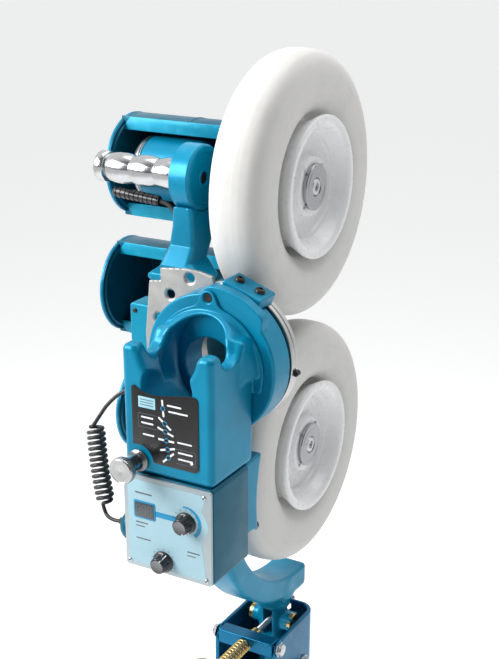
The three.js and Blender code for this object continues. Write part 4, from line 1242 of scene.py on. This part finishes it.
def yoke_field(p):
    x, y, z = p
    radial = length2(y, z + WHEEL_OFFSET) + 0 * x
    band = smooth_max(radial - YOKE_OUTER, np.abs(x) - YOKE_HALF + 0 * radial, 9)
    angle = np.degrees(np.arctan2(z + WHEEL_OFFSET, y)) + 0 * x
    past = np.where(angle > 90, angle - 360, angle)
    band = smooth_max(band, np.where(past > -180, y - 16, -99.0) + 0 * radial, 10)
    band = smooth_max(band, (-186 - past) * 4.2, 6)
    band = np.maximum(band, np.where((past > -60) & (radial < 400), z + 400, -99.0))
    carrier = box_field(p, (-72, -278.7, -290), (72, -225, -140.2), 4)
    carrier = smooth_max(carrier, 34 - length2(y + 262, z + 296) + 0 * x, 4)
    solid = smooth_min(band, carrier, 12)
    post = disc_field(p, "z", TILT_Z - 25, -470, 25, (0, POST_Y, 0), 3)
    collar = disc_field(p, "z", -520, -498, 30, (0, POST_Y, 0), 4)
    solid = smooth_min(solid, smooth_min(post, collar, 5), 14)
    boss = disc_field(p, "x", -42, 42, 15, (0, POST_Y, SCREW_Z), 2)
    right = box_field(p, (10, POST_Y - 14, SCREW_Z - 13), (42, POST_Y + 14, SCREW_Z + 13), 2)
    solid = smooth_min(solid, np.minimum(boss, right), 4)
    solid = smooth_max(solid, YOKE_INNER - radial, 5)
    solid = np.maximum(solid, -box_field(p, (-8.5, POST_Y - 60, SCREW_Z - 26),
                                         (8.5, POST_Y + 60, SCREW_Z + 26)))
    solid = np.maximum(solid, 9.4 - length2(y - POST_Y, z - TILT_Z) + 0 * x)
    return np.maximum(solid, -278.7 - y + np.where(z > BOX_BOTTOM, 0, -60) + 0 * x)


casting("yoke_casting", yoke_field, (-76, -290, -660), (76, 46, -136), 2.4, "paint", "chassis", "yoke",
        crease=50)
for number, (x, z) in enumerate(((-58, -160), (58, -160), (-58, -270), (58, -270)), 1):
    profile, shape = socket_head(0, 5, 6.5, 3)
    turned(f"yoke_screw_{number}", "y", [(y - 225.4, r) for y, r in profile], (x, 0, z), "dark_screw",
           "chassis", segments=48, shape=shape)
for side in (-1, 1):
    edge = [(34, 6), (34, 14.6), (35, 15.6), (40.8, 15.6), (42.6, 14), (42.6, 6), (34, 6)]
    turned(f"trunnion_bush_{'left' if side < 0 else 'right'}", "x", [(a * side, r) for a, r in edge],
           (0, POST_Y, SCREW_Z), "brass", "chassis", segments=64)


# ---- swivel bracket, tilt pivot and elevation screw ------------------------------------------
def u_plan(half, back, radius, front):
    return ([(half, front)] + arc((half - radius, back - radius), radius, 0, 90, 20)
            + arc((radius - half, back - radius), radius, 90, 180, 20) + [(-half, front)])


def bracket_field(p):
    x, y, z = p
    outside = polygon_field(x, y, u_plan(60, 0, 28, -155)) + 0 * z
    inside = polygon_field(x, y, u_plan(53, -7, 21, -175)) + 0 * z
    corner = length2(np.maximum(-y - 128, 0), np.maximum(z + 562, 0)) - 27 + 0 * x
    solid = smooth_max(outside, slab(z, -700, -535) + 0 * outside, 3)
    solid = smooth_max(solid, corner, 2)
    solid = smooth_max(solid, -np.maximum(inside, -690 - z), 3)
    for radius, y_hole, z_hole in ((9.4, POST_Y, TILT_Z), (6.4, -142, SCREW_Z)):
        solid = np.maximum(solid, radius - length2(y - y_hole, z - z_hole) + 0 * x)
    return np.maximum(solid, np.where(y > -30, 12 - length2(x, z - SCREW_Z), -99.0))


casting("bracket_plates", bracket_field, (-64, -158, -703), (64, 4, -531), 2.2, "bracket", "bracket",
        "swivel_bracket", crease=45)


def hexagon(angle, along, radius):
    """Six flats on a bolt's head, which is the stretch between 10 and 16 in radius."""
    if 10 < radius < 16:
        return radius / math.cos((angle % (math.pi / 3)) - math.pi / 6) * 0.93
    return radius


turned("tilt_bolt", "x", [(-71, 0.4), (-71, 11.4), (-70, 13.6), (-64, 14), (-63.6, 16.6), (-61, 16.6),
       (-60.8, 9), (60.8, 9), (61, 16.6), (63.6, 16.6), (64, 14), (70, 13.6), (71, 11.4), (71, 9), (74, 8.6),
       (75, 7.6), (75, 0.4)], (0, POST_Y, TILT_Z), "steel", "bracket", "tilt_pivot_bolt", segments=96,
       shape=hexagon, crease=40)


def crossbar_field(p):
    solid = box_field(p, (-52.6, -155, SCREW_Z - 13), (52.6, -129, SCREW_Z + 13), 1.6)
    return np.maximum(solid, 7.2 - length2(p[0], p[2] - SCREW_Z) + 0 * p[1])


casting("crossbar_block", crossbar_field, (-55, -158, SCREW_Z - 16), (55, -126, SCREW_Z + 16), 1.6, "bracket",
        "bracket", "crossbar", crease=50)
for name, side in (("left", -1), ("right", 1)):
    profile = [(53.2, 0.4), (53.2, 6), (60.4, 6), (60.5, 12.8), (62, 12.8), (62.2, 10.6), (67, 10.6),
               (68, 9.4), (68, 0.4)]
    turned(f"crossbar_bolt_head_{name}", "x", [(a * side, r) for a, r in profile], (0, -142, SCREW_Z),
           "steel", "bracket", f"crossbar_bolt_{name}", segments=72, shape=hexagon, crease=40)


def thread_points(start, end, radius, pitch, depth, per_turn=24):
    """A screw thread along Y: rings whose radius runs round with the turn."""
    rows = int((end - start) / pitch * 6)
    verts, faces = [], []
    for j in range(rows + 1):
        y = start + (end - start) * j / rows
        for i in range(per_turn):
            angle = 2 * math.pi * i / per_turn
            phase = ((y - start) / pitch - i / per_turn) % 1
            r = radius - depth * (1 - abs(2 * phase - 1))
            verts.append((r * math.cos(angle), y, SCREW_Z + r * math.sin(angle)))
    for j in range(rows):
        for i in range(per_turn):
            k = (i + 1) % per_turn
            faces.append((j * per_turn + i, j * per_turn + k, (j + 1) * per_turn + k, (j + 1) * per_turn + i))
    return verts, faces + [tuple(range(per_turn)), tuple(rows * per_turn + i for i in range(per_turn))]


verts, faces = thread_points(-262, 22, 6, 2, 0.9)
make("elevation_screw_thread", verts, faces, "steel", "elevation", "elevation_screw", crease=70)
turned("elevation_sleeve_tube", "y", [(-128, 6.4), (-128, 9.4), (-127, 10), (-120, 10), (-119, 9.2),
       (-113, 9.2), (-112, 8.6), (-112, 6.4), (-128, 6.4)], (0, 0, SCREW_Z), "brass", "bracket",
       "elevation_sleeve", segments=60)
coils, per_turn = 12, 30
spring = [(11 * math.cos(2 * math.pi * i / per_turn), -257 + (257 - 157.4) * i / (coils * per_turn),
           SCREW_Z + 11 * math.sin(2 * math.pi * i / per_turn)) for i in range(coils * per_turn + 1)]
verts, faces = tube_points(spring, 1.9, 12)
make("elevation_spring_coil", verts, faces, "zinc", "bracket", "elevation_spring", crease=60)
turned("handwheel_rim", "y", [(-262.3, 6.2), (-262.3, 13), (-263, 14), (-271, 14), (-272.6, 15.4),
       (-273.4, 30), (-274, 34), (-275, 38), (-276.4, 39.6), (-278, 40), (-288, 40), (-290, 39.4),
       (-291.4, 37.6), (-292, 34), (-289, 30), (-287.6, 18), (-289, 12), (-292, 10.6), (-292, 0.5)],
       (0, 0, SCREW_Z), "brass", "elevation", "elevation_knob", segments=192,
       shape=fluted(40, 1.1, -289.5, -276.5), crease=40)


# ---- tripod ---------------------------------------------------------------------------------
PAN_Y = -78
LEG_TOP, LEG_FOOT = (52, -790), (600, FLOOR + 18)
LEG_ANGLES = (90, 210, 330)


def along_leg(fraction, degrees):
    distance = LEG_TOP[0] + (LEG_FOOT[0] - LEG_TOP[0]) * fraction
    height = LEG_TOP[1] + (LEG_FOOT[1] - LEG_TOP[1]) * fraction
    angle = math.radians(degrees)
    return Vector((distance * math.cos(angle), PAN_Y + distance * math.sin(angle), height))


def hub_field(p):
    x, y, z = p
    radial = length2(x, y - PAN_Y) + 0 * z
    column = disc_field(p, "z", -872, -720, 38, (0, PAN_Y, 0), 3)
    top = disc_field(p, "z", -725, -713, 56, (0, PAN_Y, 0), 3)
    solid = smooth_min(column, top, 10)
    for angle in LEG_ANGLES:
        socket = bar_field(p, along_leg(-0.02, angle), along_leg(0.14, angle), 24)
        ends = Vector(along_leg(0.16, angle))
        way = (along_leg(1, angle) - along_leg(0, angle)).normalized()
        beyond = (x - ends.x) * way.x + (y - ends.y) * way.y + (z - ends.z) * way.z
        solid = smooth_min(solid, smooth_max(socket, beyond, 2), 12)
    for angle in LEG_ANGLES:
        start = along_leg(0.02, angle)
        way = (along_leg(1, angle) - along_leg(0, angle)).normalized()
        behind = -((x - start.x) * way.x + (y - start.y) * way.y + (z - start.z) * way.z)
        bore = np.maximum(line_field(p, start, along_leg(0.2, angle), 17.4), behind)
        solid = smooth_max(solid, -bore, 2)
    return np.maximum(solid, 20.4 - radial)


casting("tripod_hub_casting", hub_field, (-150, -240, -890), (150, 80, -710), 2.6, "paint", "tripod",
        "tripod_hub", crease=50)
turned("pan_spindle_pin", "z", [(-820, 0.5), (-820, 18), (-818, 20), (-712.4, 20), (-712.4, 48),
       (-711.4, 50), (-708, 50), (-707.4, 49), (-705, 49), (-704.4, 50), (-701, 50), (-700.3, 49),
       (-700.3, 0.5)], (0, PAN_Y, 0), "steel", "bracket", "pan_spindle", segments=96)


def leg_lathe(name, stations, angle, material, cad=(), sides=48, ground=False):
    """A turned piece about a leg's line; stations are (fraction along the leg, radius)."""
    way = (along_leg(1, angle) - along_leg(0, angle)).normalized()
    across = way.orthogonal().normalized()
    other = way.cross(across)
    verts, faces = [], []
    for fraction, radius in stations:
        ring_centre = along_leg(fraction, angle)
        for i in range(sides):
            turn = 2 * math.pi * i / sides
            point = ring_centre + (across * math.cos(turn) + other * math.sin(turn)) * radius
            if ground:
                point.z = max(point.z, FLOOR)
            verts.append(tuple(point))
    for j in range(len(stations) - 1):
        for i in range(sides):
            k = (i + 1) % sides
            faces.append((j * sides + i, j * sides + k, (j + 1) * sides + k, (j + 1) * sides + i))
    last = (len(stations) - 1) * sides
    faces += [tuple(range(sides)), tuple(last + i for i in range(sides))]
    make(name, verts, faces, material, "tripod", cad, crease=40)


for number, angle in enumerate(LEG_ANGLES, 1):
    leg_lathe(f"leg_tube_{number}", [(0.025, 15), (0.027, 17)] + [(0.03 + i * 0.02, 17) for i in range(47)]
              + [(0.97, 17)], angle, "leg", f"leg_{number}")
    leg_lathe(f"leg_collar_{number}", [(0.155, 17.2), (0.155, 22), (0.158, 23), (0.176, 23), (0.179, 22),
              (0.179, 17.2)], angle, "black")
    ribs = [(0.9, 17.4), (0.9, 22.6), (0.903, 24)]
    for i in range(6):
        start = 0.91 + i * 0.012
        ribs += [(start, 24), (start + 0.002, 23), (start + 0.005, 23), (start + 0.007, 24)]
    ribs += [(1, 24), (1.008, 23.6), (1.016, 22), (1.024, 18.4), (1.03, 13), (1.034, 6), (1.035, 0.4)]
    leg_lathe(f"foot_boot_{number}", ribs, angle, "rubber", f"foot_{number}", ground=True)
    end = along_leg(0.1, angle)
    side = Vector((math.sin(math.radians(angle)), -math.cos(math.radians(angle)), 0))
    turned(f"leg_pin_{number}", "z", [(-5, 0.4), (-5, 4), (-4, 5.4), (6, 5.4), (8, 4.4), (8.4, 0.4)],
           tuple(end + side * 24.5), "steel", "tripod", segments=36)

turned("pan_lock_grip", "y", [(-166, 0.5), (-166, 17), (-165, 19.4), (-162, 20.6), (-150, 21.8), (-148.4, 21),
       (-146, 15), (-142.4, 10.4), (-124, 10), (-124, 6), (-100, 6), (-100, 0.5)], (0, 0, -748), "black",
       "lock_knob", "pan_lock_knob", segments=144, shape=fluted(7, 3.4, -164, -149), crease=40)


# ---- last update of the scene ---------------------------------------------------------------
bpy.context.view_layer.update()
